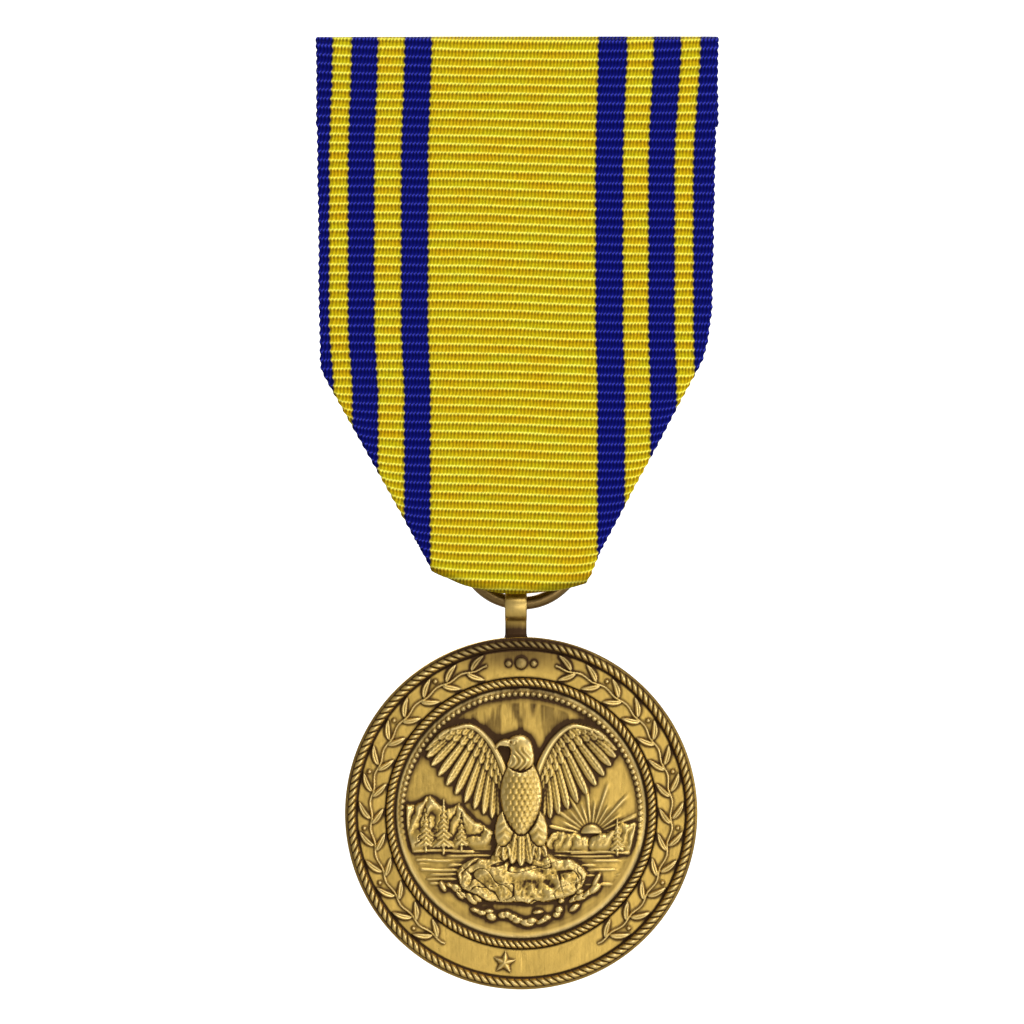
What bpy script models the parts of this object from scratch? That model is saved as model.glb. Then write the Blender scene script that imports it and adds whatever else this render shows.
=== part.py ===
"""Military service medal: struck bronze planchet, suspension ring, folded ribbon and pin-back brooch.

The medal hangs in the XZ plane and faces -Y, with +Z up. The origin is the middle of the
brooch's flat back face. Run with: blender --background --python part.py
"""
import bpy
import bmesh
from math import cos, sin, pi, radians
from mathutils import Vector

MM = 0.001

# Ribbon: 1-3/8 inch wide grosgrain, folded to a neck at the bottom.
CLOTH = 0.45
RIBBON_HALF_TOP = 17.45
RIBBON_HALF_SHOULDER = 17.05
RIBBON_TOP_Z = 5.05
SHOULDER_Z = -23.8
NECK_HALF = 6.9
NECK_Z = -41.5
LEAF_BOTTOM_Z = -43.3
LEAF_Y = -3.375
HEM_Y = -1.325
HEM_END_Z = -2.8
TAIL_HALF = 4.4

# Brooch: a folded brass plate with the ribbon's end crimped inside.
BROOCH_HALF = 16.7
BROOCH_TOP_Z = 4.0
BROOCH_FOLD_Z = -3.6
BACK_LEAF_TOP_Z = 1.6
SHEET = 0.9

# Suspension ring and the eyelet brazed on the planchet's edge.
RING_Y = -1.3
RING_Z = -39.1
RING_R = 5.17
WIRE_R = 0.565
EYELET_OUTER = 1.6
EYELET_INNER = 1.0
EYELET_WIDTH = 1.84
EYELET_GAP = 0.25

# Planchet.
PLANCHET_R = 15.34
PLANCHET_TOP_Z = -47.18
PLANCHET_T = 2.6
PLANCHET_Y = -1.46
FIELD_DROP = 0.65
BRAZE_GAP = 0.03
STAR_R = 1.2
STAR_RADIUS_AT = 13.05

# Pin and safety catch on the back of the brooch.
PIN_Y = 2.1
PIN_Z = -1.3
PIN_R = 0.4
HINGE_X = -13.5
PIN_TIP_X = 15.9
EYE_R = 0.85
EYE_HALF = 0.8
RIVET_R = 0.36
CATCH_X0 = 11.3
CATCH_X1 = 14.5
BARREL_R = 1.45
COLLAR_R = 0.92
BORE_R = 0.56
SLOT_W = 1.1
CHEEK_T = 0.5
RUN_GAP = 0.05


def clear_scene():
    for old in list(bpy.data.objects):
        bpy.data.objects.remove(old, do_unlink=True)


def make_collection(name):
    made = bpy.data.collections.new(name)
    bpy.context.scene.collection.children.link(made)
    return made


def make_material(name, colour, metallic, roughness):
    made = bpy.data.materials.new(name)
    made.use_nodes = True
    shader = made.node_tree.nodes["Principled BSDF"]
    shader.inputs["Base Color"].default_value = (*colour, 1.0)
    shader.inputs["Metallic"].default_value = metallic
    shader.inputs["Roughness"].default_value = roughness
    made.diffuse_color = (*colour, 1.0)
    return made


def to_object(name, bm, collection, origin=(0, 0, 0), smooth=False):
    """Turn a bmesh built in millimetres, in world axes, into an object with its origin at a point."""
    shift = Vector(origin)
    bmesh.ops.recalc_face_normals(bm, faces=bm.faces)
    if bm.calc_volume(signed=True) < 0:
        bmesh.ops.reverse_faces(bm, faces=bm.faces)
    for vert in bm.verts:
        vert.co = (vert.co - shift) * MM
    mesh = bpy.data.meshes.new(name)
    bm.to_mesh(mesh)
    bm.free()
    made = bpy.data.objects.new(name, mesh)
    made.location = shift * MM
    collection.objects.link(made)
    for face in mesh.polygons:
        face.use_smooth = smooth
    return made


def as_tool(obj):
    obj.hide_render = True
    obj.display_type = 'WIRE'
    return obj


def combine(obj, tool, operation):
    step = obj.modifiers.new(operation.lower() + "_" + tool.name, 'BOOLEAN')
    step.operation = operation
    step.object = tool


def add_bevel(obj, width, segments=2, angle=40):
    step = obj.modifiers.new("bevel", 'BEVEL')
    step.width = width * MM
    step.segments = segments
    step.limit_method = 'ANGLE'
    step.angle_limit = radians(angle)


def box(name, low, high, collection, origin=(0, 0, 0)):
    bm = bmesh.new()
    bmesh.ops.create_cube(bm, size=1.0)
    for vert in bm.verts:
        for axis in range(3):
            vert.co[axis] = low[axis] + (vert.co[axis] + 0.5) * (high[axis] - low[axis])
    return to_object(name, bm, collection, origin)


def cylinder(name, axis, start, end, radius, collection, origin=(0, 0, 0), end_radius=None, sides=32):
    """Round bar from one point to another along a row axis; end_radius makes it a cone."""
    bm = bmesh.new()
    length = (Vector(end) - Vector(start)).length
    top = radius if end_radius is None else end_radius
    bmesh.ops.create_cone(bm, cap_ends=True, segments=sides, radius1=radius, radius2=top, depth=length)
    turn = Vector((0, 0, 1)).rotation_difference(Vector(end) - Vector(start)).to_matrix()
    middle = (Vector(start) + Vector(end)) / 2
    for vert in bm.verts:
        vert.co = turn @ vert.co + middle
    return to_object(name, bm, collection, origin, smooth=False)


def prism(name, outline, y0, y1, collection, origin=(0, 0, 0)):
    """Flat outline in XZ, thickened from y0 to y1."""
    bm = bmesh.new()
    corners = [bm.verts.new((x, y0, z)) for x, z in outline]
    face = bm.faces.new(corners)
    grown = bmesh.ops.extrude_face_region(bm, geom=[face])
    for item in grown["geom"]:
        if isinstance(item, bmesh.types.BMVert):
            item.co.y = y1
    return to_object(name, bm, collection, origin)


def side_prism(name, outline, x0, x1, collection, origin=(0, 0, 0)):
    """Flat outline in YZ, thickened from x0 to x1."""
    bm = bmesh.new()
    corners = [bm.verts.new((x0, y, z)) for y, z in outline]
    face = bm.faces.new(corners)
    grown = bmesh.ops.extrude_face_region(bm, geom=[face])
    for item in grown["geom"]:
        if isinstance(item, bmesh.types.BMVert):
            item.co.x = x1
    return to_object(name, bm, collection, origin)


def sheet(name, path, half, thickness, collection):
    """A bent sheet: a path in YZ carried along X, then given its thickness."""
    bm = bmesh.new()
    left = [bm.verts.new((-half, y, z)) for y, z in path]
    right = [bm.verts.new((half, y, z)) for y, z in path]
    for i in range(len(path) - 1):
        bm.faces.new((left[i], left[i + 1], right[i + 1], right[i]))
    made = to_object(name, bm, collection)
    wall = made.modifiers.new("thickness", 'SOLIDIFY')
    wall.thickness = thickness * MM
    wall.offset = 0.0
    wall.use_even_offset = True
    return made


def arc(cy, cz, radius, start, end, steps):
    """Points on an arc; angles in degrees from the first axis towards the second."""
    points = []
    for i in range(steps + 1):
        a = radians(start + (end - start) * i / steps)
        points.append((cy + radius * cos(a), cz + radius * sin(a)))
    return points


def build_planchet(parts, tools, bronze, swing):
    """Struck disc: raised rope rim, lettering band left plain, inner border and a low domed centre."""
    half = PLANCHET_T / 2
    field = half - FIELD_DROP
    back = -half + 0.15
    bead = 0.5
    profile = [(0.0, field + 0.35), (5.0, field + 0.28), (8.6, field + 0.1), (10.9, field)]
    profile += [(10.9 + bead - bead * cos(a * pi / 6), field + bead * sin(a * pi / 6)) for a in range(1, 6)]
    profile += [(11.9, field), (14.2, field)]
    rim_r = (PLANCHET_R - 14.2) / 2
    for a in range(1, 6):
        x = 14.2 + rim_r - rim_r * cos(a * pi / 6)
        profile.append((x, field + FIELD_DROP * sin(a * pi / 6)))
    profile += [(PLANCHET_R, field), (PLANCHET_R, -half + 0.25), (PLANCHET_R - 0.25, -half)]
    profile += [(14.3, -half), (14.05, back), (0.0, back)]
    mesh = bpy.data.meshes.new("planchet")
    mesh.from_pydata([(r * MM, 0.0, z * MM) for r, z in profile], [(i, i + 1) for i in range(len(profile) - 1)], [])
    disc = bpy.data.objects.new("planchet", mesh)
    parts.objects.link(disc)
    turned = disc.modifiers.new("turned", 'SCREW')
    turned.axis = 'Z'
    turned.steps = 96
    turned.render_steps = 96
    turned.use_merge_vertices = True
    turned.merge_threshold = 0.00001
    turned.use_normal_calculate = True
    turned.use_smooth_shade = True
    # A raised five-pointed star stands on the band at six o'clock.
    centre_z = PLANCHET_TOP_Z - PLANCHET_R
    bm = bmesh.new()
    foot = []
    for i in range(10):
        a = -pi / 2 + i * pi / 5
        r = STAR_R if i % 2 == 0 else STAR_R * 0.42
        foot.append(bm.verts.new((r * cos(a), PLANCHET_Y - field + 0.1, centre_z - STAR_RADIUS_AT - r * sin(a))))
    crown = bm.verts.new((0.0, PLANCHET_Y - field - 0.45, centre_z - STAR_RADIUS_AT))
    heel = bm.verts.new((0.0, PLANCHET_Y - field + 0.3, centre_z - STAR_RADIUS_AT))
    for i in range(10):
        j = (i + 1) % 10
        bm.faces.new((foot[i], foot[j], crown))
        bm.faces.new((foot[j], foot[i], heel))
    star = as_tool(to_object("star_raised", bm, tools))
    star.parent = disc
    disc.parent = swing
    disc.rotation_euler = (pi / 2, 0.0, 0.0)
    disc.location = Vector((0.0, PLANCHET_Y, centre_z)) * MM - swing.location
    star.matrix_parent_inverse = (swing.matrix_basis @ disc.matrix_basis).inverted()
    combine(disc, star, 'UNION')
    disc.data.materials.append(bronze)
    return disc


def build_eyelet(parts, tools, bronze, swing):
    """Loop brazed on the planchet's edge, standing across it, with a short stem and flared foot."""
    ring_low = RING_Z - RING_R
    hole_top = ring_low + WIRE_R + EYELET_GAP
    centre = hole_top - EYELET_INNER
    half = EYELET_WIDTH / 2
    origin = (0.0, RING_Y, ring_low)
    loop = cylinder("suspension_eyelet", 'X', (-half, RING_Y, centre), (half, RING_Y, centre), EYELET_OUTER,
                    parts, origin, sides=40)
    add_bevel(loop, 0.18)
    stem = as_tool(box("eyelet_stem", (-half + 0.1, RING_Y - 0.62, PLANCHET_TOP_Z - 0.4),
                       (half - 0.1, RING_Y + 0.62, centre - 1.2), tools))
    foot = as_tool(cylinder("eyelet_foot", 'Z', (0, RING_Y, PLANCHET_TOP_Z - 0.4),
                            (0, RING_Y, PLANCHET_TOP_Z + 0.55), 1.6, tools, end_radius=0.75, sides=28))
    hole = as_tool(cylinder("eyelet_hole", 'X', (-half - 1, RING_Y, centre), (half + 1, RING_Y, centre),
                            EYELET_INNER, tools, sides=36))
    edge = as_tool(cylinder("eyelet_seat", 'Y', (0, -8, PLANCHET_TOP_Z - PLANCHET_R),
                            (0, 8, PLANCHET_TOP_Z - PLANCHET_R), PLANCHET_R + BRAZE_GAP, tools, sides=96))
    combine(loop, stem, 'UNION')
    combine(loop, foot, 'UNION')
    combine(loop, hole, 'DIFFERENCE')
    combine(loop, edge, 'DIFFERENCE')
    loop.parent = swing
    loop.location = (0.0, 0.0, 0.0)
    loop.data.materials.append(bronze)
    return loop


def build_ring(parts, bronze, sway):
    """Round wire ring through the eyelet and the fold of the ribbon."""
    bpy.ops.mesh.primitive_torus_add(major_segments=72, minor_segments=14, major_radius=RING_R * MM,
                                     minor_radius=WIRE_R * MM, location=(0, 0, 0), rotation=(0, 0, 0))
    ring = bpy.context.object
    ring.name = "suspension_ring"
    for owner in list(ring.users_collection):
        owner.objects.unlink(ring)
    parts.objects.link(ring)
    ring.parent = sway
    ring.rotation_euler = (pi / 2, 0.0, 0.0)
    for face in ring.data.polygons:
        face.use_smooth = True
    ring.data.materials.append(bronze)
    return ring


def ribbon_outline():
    """Front leaf of the ribbon: straight sides, diagonal side folds and a curved lower fold."""
    right = [(RIBBON_HALF_TOP, RIBBON_TOP_Z + 2.0), (RIBBON_HALF_TOP, RIBBON_TOP_Z)]
    right += [(RIBBON_HALF_SHOULDER, SHOULDER_Z + 1.2), (RIBBON_HALF_SHOULDER - 0.15, SHOULDER_Z)]
    right += [(RIBBON_HALF_SHOULDER - 0.75, SHOULDER_Z - 1.2)]
    right += [(NECK_HALF, NECK_Z), (NECK_HALF - 0.25, NECK_Z - 0.5), (NECK_HALF - 0.9, NECK_Z - 0.95)]
    bottom_x = right[-1][0]
    bottom_z = right[-1][1]
    steps = 10
    lower = []
    for i in range(1, steps):
        x = bottom_x * (1 - 2 * i / steps)
        lower.append((x, LEAF_BOTTOM_Z + (bottom_z - LEAF_BOTTOM_Z) * (x / bottom_x) ** 2))
    left = [(-x, z) for x, z in reversed(right)]
    return right + lower + left


def flap_outline(side):
    """One side of the ribbon folded back across its diagonal, seen from behind the leaf."""
    shoulder = Vector((RIBBON_HALF_SHOULDER, SHOULDER_Z))
    neck = Vector((NECK_HALF, NECK_Z))
    along = (neck - shoulder).normalized()
    edge = Vector((0.0, -1.0))
    folded = 2 * edge.dot(along) * along - edge
    out = Vector((1.0, 0.57)).normalized() * 2.0
    far = shoulder + folded * ((shoulder.x + 5.0) / -folded.x)
    points = [shoulder + out, shoulder, far, Vector((-4.2, NECK_Z + 0.6)), Vector((4.6, -42.2)), neck + out]
    return [(side * p.x, p.y) for p in points]


def build_ribbon(parts, tools, cloth):
    """One continuous strip: crimped end, roll over the brooch, front leaf, side folds, tail through the ring."""
    roll_y = (LEAF_Y + HEM_Y) / 2
    roll_r = (HEM_Y - LEAF_Y) / 2
    roll_z = RIBBON_TOP_Z - CLOTH / 2 - roll_r
    path = [(HEM_Y, HEM_END_Z), (HEM_Y, 0.5)]
    path += arc(roll_y, roll_z, roll_r, 0, 180, 12)
    path += [(LEAF_Y, -12.0), (LEAF_Y, -28.0), (LEAF_Y, LEAF_BOTTOM_Z - 2.0)]
    ribbon = sheet("ribbon", path, RIBBON_HALF_TOP + 1.5, CLOTH, parts)
    back_of_leaf = LEAF_Y + CLOTH / 2
    left = as_tool(prism("fold_left", flap_outline(-1), back_of_leaf - 0.15, back_of_leaf + 0.45, tools))
    right = as_tool(prism("fold_right", flap_outline(1), back_of_leaf - 0.12, back_of_leaf + 0.5, tools))
    frame = as_tool(prism("ribbon_shape", ribbon_outline(), -8.0, 3.0, tools))
    combine(ribbon, left, 'UNION')
    combine(ribbon, right, 'UNION')
    combine(ribbon, frame, 'INTERSECT')
    # The tail passes back through the ring, curved to lie over its lower wire and the eyelet.
    outer = 3.3
    inner = outer - CLOTH
    through = arc(0.0, RING_Z, outer, 214, 326, 14) + arc(0.0, RING_Z, inner, 326, 214, 14)
    passage = as_tool(prism("tail_through_ring", through, LEAF_Y - 0.05, RING_Y + 1.2, tools))
    behind_y = RING_Y + WIRE_R + 0.33
    lower = arc(0.0, RING_Z, outer + 0.02, 212, 328, 14)
    behind = lower + [(TAIL_HALF, RING_Z + 4.0), (TAIL_HALF, RING_Z + 7.0)]
    behind += [(-TAIL_HALF, RING_Z + 7.0), (-TAIL_HALF, RING_Z + 4.0)]
    run = as_tool(prism("tail_behind_ring", behind, behind_y, behind_y + CLOTH, tools))
    mid_y = behind_y + CLOTH / 2
    rise = [(mid_y - 0.02, RING_Z + 6.6), (mid_y - 0.9, RING_Z + 7.9), (back_of_leaf + 0.55, RING_Z + 9.6)]
    rise += [(back_of_leaf + 0.17, RING_Z + 10.4), (back_of_leaf + 0.17, RING_Z + 12.6)]
    end = as_tool(sheet("tail_end", rise, TAIL_HALF - 0.02, CLOTH - 0.02, tools))
    combine(ribbon, passage, 'UNION')
    combine(ribbon, run, 'UNION')
    combine(ribbon, end, 'UNION')
    ribbon.data.materials.append(cloth)
    return ribbon


def build_thread(name, points, parts, thread):
    """A row of stitches: one round thread lying along the seam."""
    curve = bpy.data.curves.new(name, 'CURVE')
    curve.dimensions = '3D'
    curve.bevel_depth = 0.14 * MM
    curve.bevel_resolution = 1
    curve.use_fill_caps = True
    line = curve.splines.new('POLY')
    line.points.add(len(points) - 1)
    for spot, place in zip(line.points, points):
        spot.co = (place[0] * MM, place[1] * MM, place[2] * MM, 1.0)
    drawn = bpy.data.objects.new(name + "_curve", curve)
    parts.objects.link(drawn)
    bpy.context.view_layer.update()
    shaped = drawn.evaluated_get(bpy.context.evaluated_depsgraph_get())
    mesh = bpy.data.meshes.new_from_object(shaped)
    bpy.data.objects.remove(drawn, do_unlink=True)
    bm = bmesh.new()
    bm.from_mesh(mesh)
    bmesh.ops.remove_doubles(bm, verts=bm.verts, dist=0.00001)
    bmesh.ops.recalc_face_normals(bm, faces=bm.faces)
    bm.to_mesh(mesh)
    bm.free()
    mesh.name = name
    made = bpy.data.objects.new(name, mesh)
    parts.objects.link(made)
    for face in mesh.polygons:
        face.use_smooth = True
    made.data.materials.clear()
    made.data.materials.append(thread)
    return made


def stitches(start, end, lift, count):
    """Points of a running stitch: the thread rises slightly in the middle of each stitch."""
    points = []
    for i in range(count * 2 + 1):
        t = i / (count * 2)
        rise = lift if i % 2 else 0.0
        points.append((start[0] + (end[0] - start[0]) * t, start[1] + (end[1] - start[1]) * t + rise,
                       start[2] + (end[2] - start[2]) * t))
    return points


def build_brooch(parts, brass):
    """Brass sheet folded up behind itself; the ribbon's end is held between the two leaves."""
    front_y = (LEAF_Y + HEM_Y) / 2
    back_y = -SHEET / 2
    fold_r = (back_y - front_y) / 2
    fold_y = (back_y + front_y) / 2
    path = [(front_y, BROOCH_TOP_Z), (front_y, 0.0)]
    path += arc(fold_y, BROOCH_FOLD_Z, fold_r, 180, 360, 10)
    path += [(back_y, BACK_LEAF_TOP_Z)]
    brooch = sheet("brooch_plate", path, BROOCH_HALF, SHEET, parts)
    add_bevel(brooch, 0.18, segments=2, angle=60)
    brooch.data.materials.append(brass)
    return brooch


def build_hinge(parts, tools, brass):
    """Pin hinge: base and two ears brazed on the back, with a headed rivet through them."""
    ear_in = EYE_HALF + RUN_GAP
    ear_out = ear_in + 0.5
    base_y = BRAZE_GAP
    lug = box("pin_hinge_lug", (HINGE_X - 1.7, base_y, PIN_Z - ear_out), (HINGE_X + 1.7, base_y + 0.5, PIN_Z + ear_out),
              parts)
    for side in (-1, 1):
        z0 = PIN_Z + side * ear_in
        z1 = PIN_Z + side * ear_out
        rounded = arc(HINGE_X, PIN_Y, 1.15, 0, 180, 14)
        outline = [(HINGE_X + 1.15, base_y + 0.25)] + rounded + [(HINGE_X - 1.15, base_y + 0.25)]
        bm = bmesh.new()
        corners = [bm.verts.new((x, y, min(z0, z1))) for x, y in outline]
        face = bm.faces.new(corners)
        grown = bmesh.ops.extrude_face_region(bm, geom=[face])
        for item in grown["geom"]:
            if isinstance(item, bmesh.types.BMVert):
                item.co.z = max(z0, z1)
        tag = "upper" if side > 0 else "lower"
        ear = as_tool(to_object("hinge_ear_" + tag, bm, tools))
        combine(lug, ear, 'UNION')
    bore = as_tool(cylinder("hinge_bore", 'Z', (HINGE_X, PIN_Y, PIN_Z - 4), (HINGE_X, PIN_Y, PIN_Z + 4),
                            RIVET_R + 0.03, tools, sides=28))
    combine(lug, bore, 'DIFFERENCE')
    lug.data.materials.append(brass)

    rivet = cylinder("pin_hinge_rivet", 'Z', (HINGE_X, PIN_Y, PIN_Z - ear_out - 0.2),
                     (HINGE_X, PIN_Y, PIN_Z + ear_out + 0.2), RIVET_R, parts, (HINGE_X, PIN_Y, PIN_Z), sides=28)
    for side in (-1, 1):
        near = PIN_Z + side * (ear_out + 0.04)
        far = PIN_Z + side * (ear_out + 0.36)
        tag = "upper" if side > 0 else "lower"
        head = as_tool(cylinder("rivet_head_" + tag, 'Z', (HINGE_X, PIN_Y, near), (HINGE_X, PIN_Y, far), 0.68,
                                tools, end_radius=0.45, sides=28))
        combine(rivet, head, 'UNION')
    rivet.data.materials.append(brass)
    return lug, rivet


def build_pin(parts, tools, steel):
    """Pin stem: a pierced eye on the rivet and a straight wire to a sharp point."""
    origin = (HINGE_X, PIN_Y, PIN_Z)
    pin = cylinder("pin_stem", 'Z', (HINGE_X, PIN_Y, PIN_Z - EYE_HALF), (HINGE_X, PIN_Y, PIN_Z + EYE_HALF),
                   EYE_R, parts, origin, sides=32)
    taper_x = PIN_TIP_X - 4.0
    wire = as_tool(cylinder("pin_wire", 'X', (HINGE_X + 0.5, PIN_Y, PIN_Z), (taper_x, PIN_Y, PIN_Z), PIN_R,
                            tools, sides=20))
    point = as_tool(cylinder("pin_point", 'X', (taper_x - 0.02, PIN_Y, PIN_Z), (PIN_TIP_X, PIN_Y, PIN_Z),
                             PIN_R - 0.01, tools, end_radius=0.06, sides=20))
    bore = as_tool(cylinder("pin_eye_bore", 'Z', (HINGE_X, PIN_Y, PIN_Z - 4), (HINGE_X, PIN_Y, PIN_Z + 4),
                            RIVET_R + RUN_GAP, tools, sides=28))
    combine(pin, wire, 'UNION')
    combine(pin, point, 'UNION')
    combine(pin, bore, 'DIFFERENCE')
    pin.data.materials.append(steel)
    return pin


def build_catch(parts, tools, brass):
    """Safety catch: two slotted cheeks on a base, and a slotted barrel that turns between them."""
    base_y = BRAZE_GAP
    wide = 1.75
    housing = box("catch_housing", (CATCH_X0, base_y, PIN_Z - 2.0), (CATCH_X1, base_y + 0.45, PIN_Z + 2.0), parts)
    for x0, tag in ((CATCH_X0, "inner"), (CATCH_X1 - CHEEK_T, "outer")):
        outline = [(base_y + 0.2, PIN_Z - wide)] + arc(PIN_Y, PIN_Z, wide, -90, 90, 16)
        outline += [(base_y + 0.2, PIN_Z + wide)]
        cheek = as_tool(side_prism("catch_cheek_" + tag, outline, x0 + 0.01, x0 + CHEEK_T - 0.01, tools))
        combine(housing, cheek, 'UNION')
    eye = as_tool(cylinder("catch_bore", 'X', (CATCH_X0 - 1, PIN_Y, PIN_Z), (CATCH_X1 + 1, PIN_Y, PIN_Z),
                           COLLAR_R + RUN_GAP, tools, sides=32))
    mouth = as_tool(box("catch_mouth", (CATCH_X0 - 1, PIN_Y, PIN_Z - SLOT_W / 2 - 0.02),
                        (CATCH_X1 + 1, PIN_Y + 4, PIN_Z + SLOT_W / 2 + 0.02), tools))
    combine(housing, eye, 'DIFFERENCE')
    combine(housing, mouth, 'DIFFERENCE')
    housing.data.materials.append(brass)

    origin = ((CATCH_X0 + CATCH_X1) / 2, PIN_Y, PIN_Z)
    inside0 = CATCH_X0 + CHEEK_T + RUN_GAP
    inside1 = CATCH_X1 - CHEEK_T - RUN_GAP
    rotor = cylinder("catch_rotor", 'X', (inside0, PIN_Y, PIN_Z), (inside1, PIN_Y, PIN_Z), BARREL_R, parts, origin,
                     sides=36)
    collar = as_tool(cylinder("rotor_collars", 'X', (CATCH_X0 - 0.12, PIN_Y, PIN_Z), (CATCH_X1 + 0.12, PIN_Y, PIN_Z),
                              COLLAR_R, tools, sides=32))
    lever_turn = radians(-62)
    lever = []
    for along, across in ((BARREL_R - 0.3, -0.3), (2.75, -0.3), (2.95, 0.0), (2.75, 0.3), (BARREL_R - 0.3, 0.3)):
        y = PIN_Y + along * cos(lever_turn) - across * sin(lever_turn)
        z = PIN_Z + along * sin(lever_turn) + across * cos(lever_turn)
        lever.append((y, z))
    tab = as_tool(side_prism("rotor_lever", lever, inside0 + 0.35, inside1 - 0.35, tools))
    bore = as_tool(cylinder("rotor_bore", 'X', (CATCH_X0 - 1, PIN_Y, PIN_Z), (CATCH_X1 + 1, PIN_Y, PIN_Z), BORE_R,
                            tools, sides=28))
    slot = as_tool(box("rotor_slot", (CATCH_X0 - 1, PIN_Y, PIN_Z - SLOT_W / 2), (CATCH_X1 + 1, PIN_Y + 4, PIN_Z + SLOT_W / 2),
                       tools))
    combine(rotor, collar, 'UNION')
    combine(rotor, tab, 'UNION')
    combine(rotor, bore, 'DIFFERENCE')
    combine(rotor, slot, 'DIFFERENCE')
    rotor.data.materials.append(brass)
    return housing, rotor


def main():
    clear_scene()
    parts = make_collection("service_medal")
    tools = make_collection("cutters")
    bronze = make_material("antique_bronze", (0.42, 0.29, 0.115), 1.0, 0.42)
    ring_bronze = make_material("ring_bronze", (0.40, 0.27, 0.11), 1.0, 0.35)
    cloth = make_material("grosgrain", (0.62, 0.46, 0.03), 0.0, 0.75)
    brass = make_material("brooch_brass", (0.60, 0.43, 0.17), 1.0, 0.35)
    steel = make_material("pin_nickel", (0.62, 0.58, 0.48), 1.0, 0.28)
    thread = make_material("sewing_thread", (0.05, 0.05, 0.25), 0.0, 0.8)

    swing = bpy.data.objects.new("planchet_swing_axis", None)
    swing.location = Vector((0.0, RING_Y, RING_Z - RING_R)) * MM
    sway = bpy.data.objects.new("ring_sway_axis", None)
    sway.location = Vector((0.0, RING_Y, RING_Z)) * MM
    parts.objects.link(swing)
    parts.objects.link(sway)

    build_planchet(parts, tools, bronze, swing)
    build_eyelet(parts, tools, bronze, swing)
    build_ring(parts, ring_bronze, sway)
    build_ribbon(parts, tools, cloth)
    build_brooch(parts, brass)
    build_hinge(parts, tools, brass)
    build_pin(parts, tools, steel)
    build_catch(parts, tools, brass)

    leaf_back = LEAF_Y + CLOTH / 2
    tail_top = RING_Z + 11.9
    tail_y = leaf_back + 0.17 + CLOTH / 2 + 0.2
    build_thread("tail_seam_thread", stitches((-3.7, tail_y, tail_top), (3.7, tail_y, tail_top), 0.08, 7), parts, thread)
    flap_y = leaf_back + 0.5 + 0.2
    for side, name in ((-1, "left_fold_thread"), (1, "right_fold_thread")):
        start = (side * 12.3, flap_y, SHOULDER_Z - 4.7)
        end = (side * 6.1, flap_y, SHOULDER_Z - 8.4)
        build_thread(name, stitches(start, end, 0.08, 6), parts, thread)


main()
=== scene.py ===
"""Looks of the service medal: struck bronze relief, woven ribbon and brass brooch on the CAD frame."""
import math
import bpy
import bmesh
import numpy as np
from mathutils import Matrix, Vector


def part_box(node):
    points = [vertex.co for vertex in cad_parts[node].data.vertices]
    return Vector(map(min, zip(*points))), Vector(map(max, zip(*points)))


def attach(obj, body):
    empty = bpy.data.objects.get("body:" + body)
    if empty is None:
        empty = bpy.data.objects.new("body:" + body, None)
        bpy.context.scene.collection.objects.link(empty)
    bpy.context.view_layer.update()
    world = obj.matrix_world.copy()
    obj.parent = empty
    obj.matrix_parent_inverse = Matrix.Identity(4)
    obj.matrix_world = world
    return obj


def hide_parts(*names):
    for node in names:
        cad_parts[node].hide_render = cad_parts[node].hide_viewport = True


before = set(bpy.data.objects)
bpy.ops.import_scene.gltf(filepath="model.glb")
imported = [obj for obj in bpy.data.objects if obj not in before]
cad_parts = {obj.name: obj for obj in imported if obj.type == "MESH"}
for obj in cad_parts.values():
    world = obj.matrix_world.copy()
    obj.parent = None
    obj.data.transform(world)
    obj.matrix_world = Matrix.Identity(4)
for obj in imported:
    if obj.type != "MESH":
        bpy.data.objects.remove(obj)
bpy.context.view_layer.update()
MM = 0.001


# ---------------------------------------------------------------- mesh helpers
def add_mesh(name, verts, faces):
    """Link a smooth mesh; verts are in millimetres."""
    mesh = bpy.data.meshes.new(name)
    verts = np.asarray(verts, np.float64) * MM
    faces = np.asarray(faces, np.int64)
    mesh.vertices.add(len(verts))
    mesh.vertices.foreach_set("co", verts.astype(np.float32).ravel())
    sides = faces.shape[1]
    mesh.loops.add(faces.size)
    mesh.loops.foreach_set("vertex_index", faces.astype(np.int32).ravel())
    mesh.polygons.add(len(faces))
    mesh.polygons.foreach_set("loop_start", np.arange(0, faces.size, sides, dtype=np.int32))
    mesh.update(calc_edges=True)
    mesh.validate()
    mesh.polygons.foreach_set("use_smooth", np.ones(len(mesh.polygons), bool))
    obj = bpy.data.objects.new(name, mesh)
    bpy.context.scene.collection.objects.link(obj)
    return obj


def grid_faces(rows, cols, wrap_rows=False, wrap_cols=False, flip=False, offset=0):
    r = np.arange(rows if wrap_rows else rows - 1)
    c = np.arange(cols if wrap_cols else cols - 1)
    rr, cc = np.meshgrid(r, c, indexing="ij")
    r2 = (rr + 1) % rows
    c2 = (cc + 1) % cols
    quads = np.stack([rr * cols + cc, rr * cols + c2, r2 * cols + c2, r2 * cols + cc], -1).reshape(-1, 4)
    return (quads[:, ::-1] if flip else quads) + offset


def set_attr(obj, name, values):
    attr = obj.data.attributes.new(name, "FLOAT", "POINT")
    attr.data.foreach_set("value", np.asarray(values, np.float32).ravel())


def smoothstep(a, b, x):
    t = np.clip((x - a) / (b - a), 0, 1)
    return t * t * (3 - 2 * t)


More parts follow.
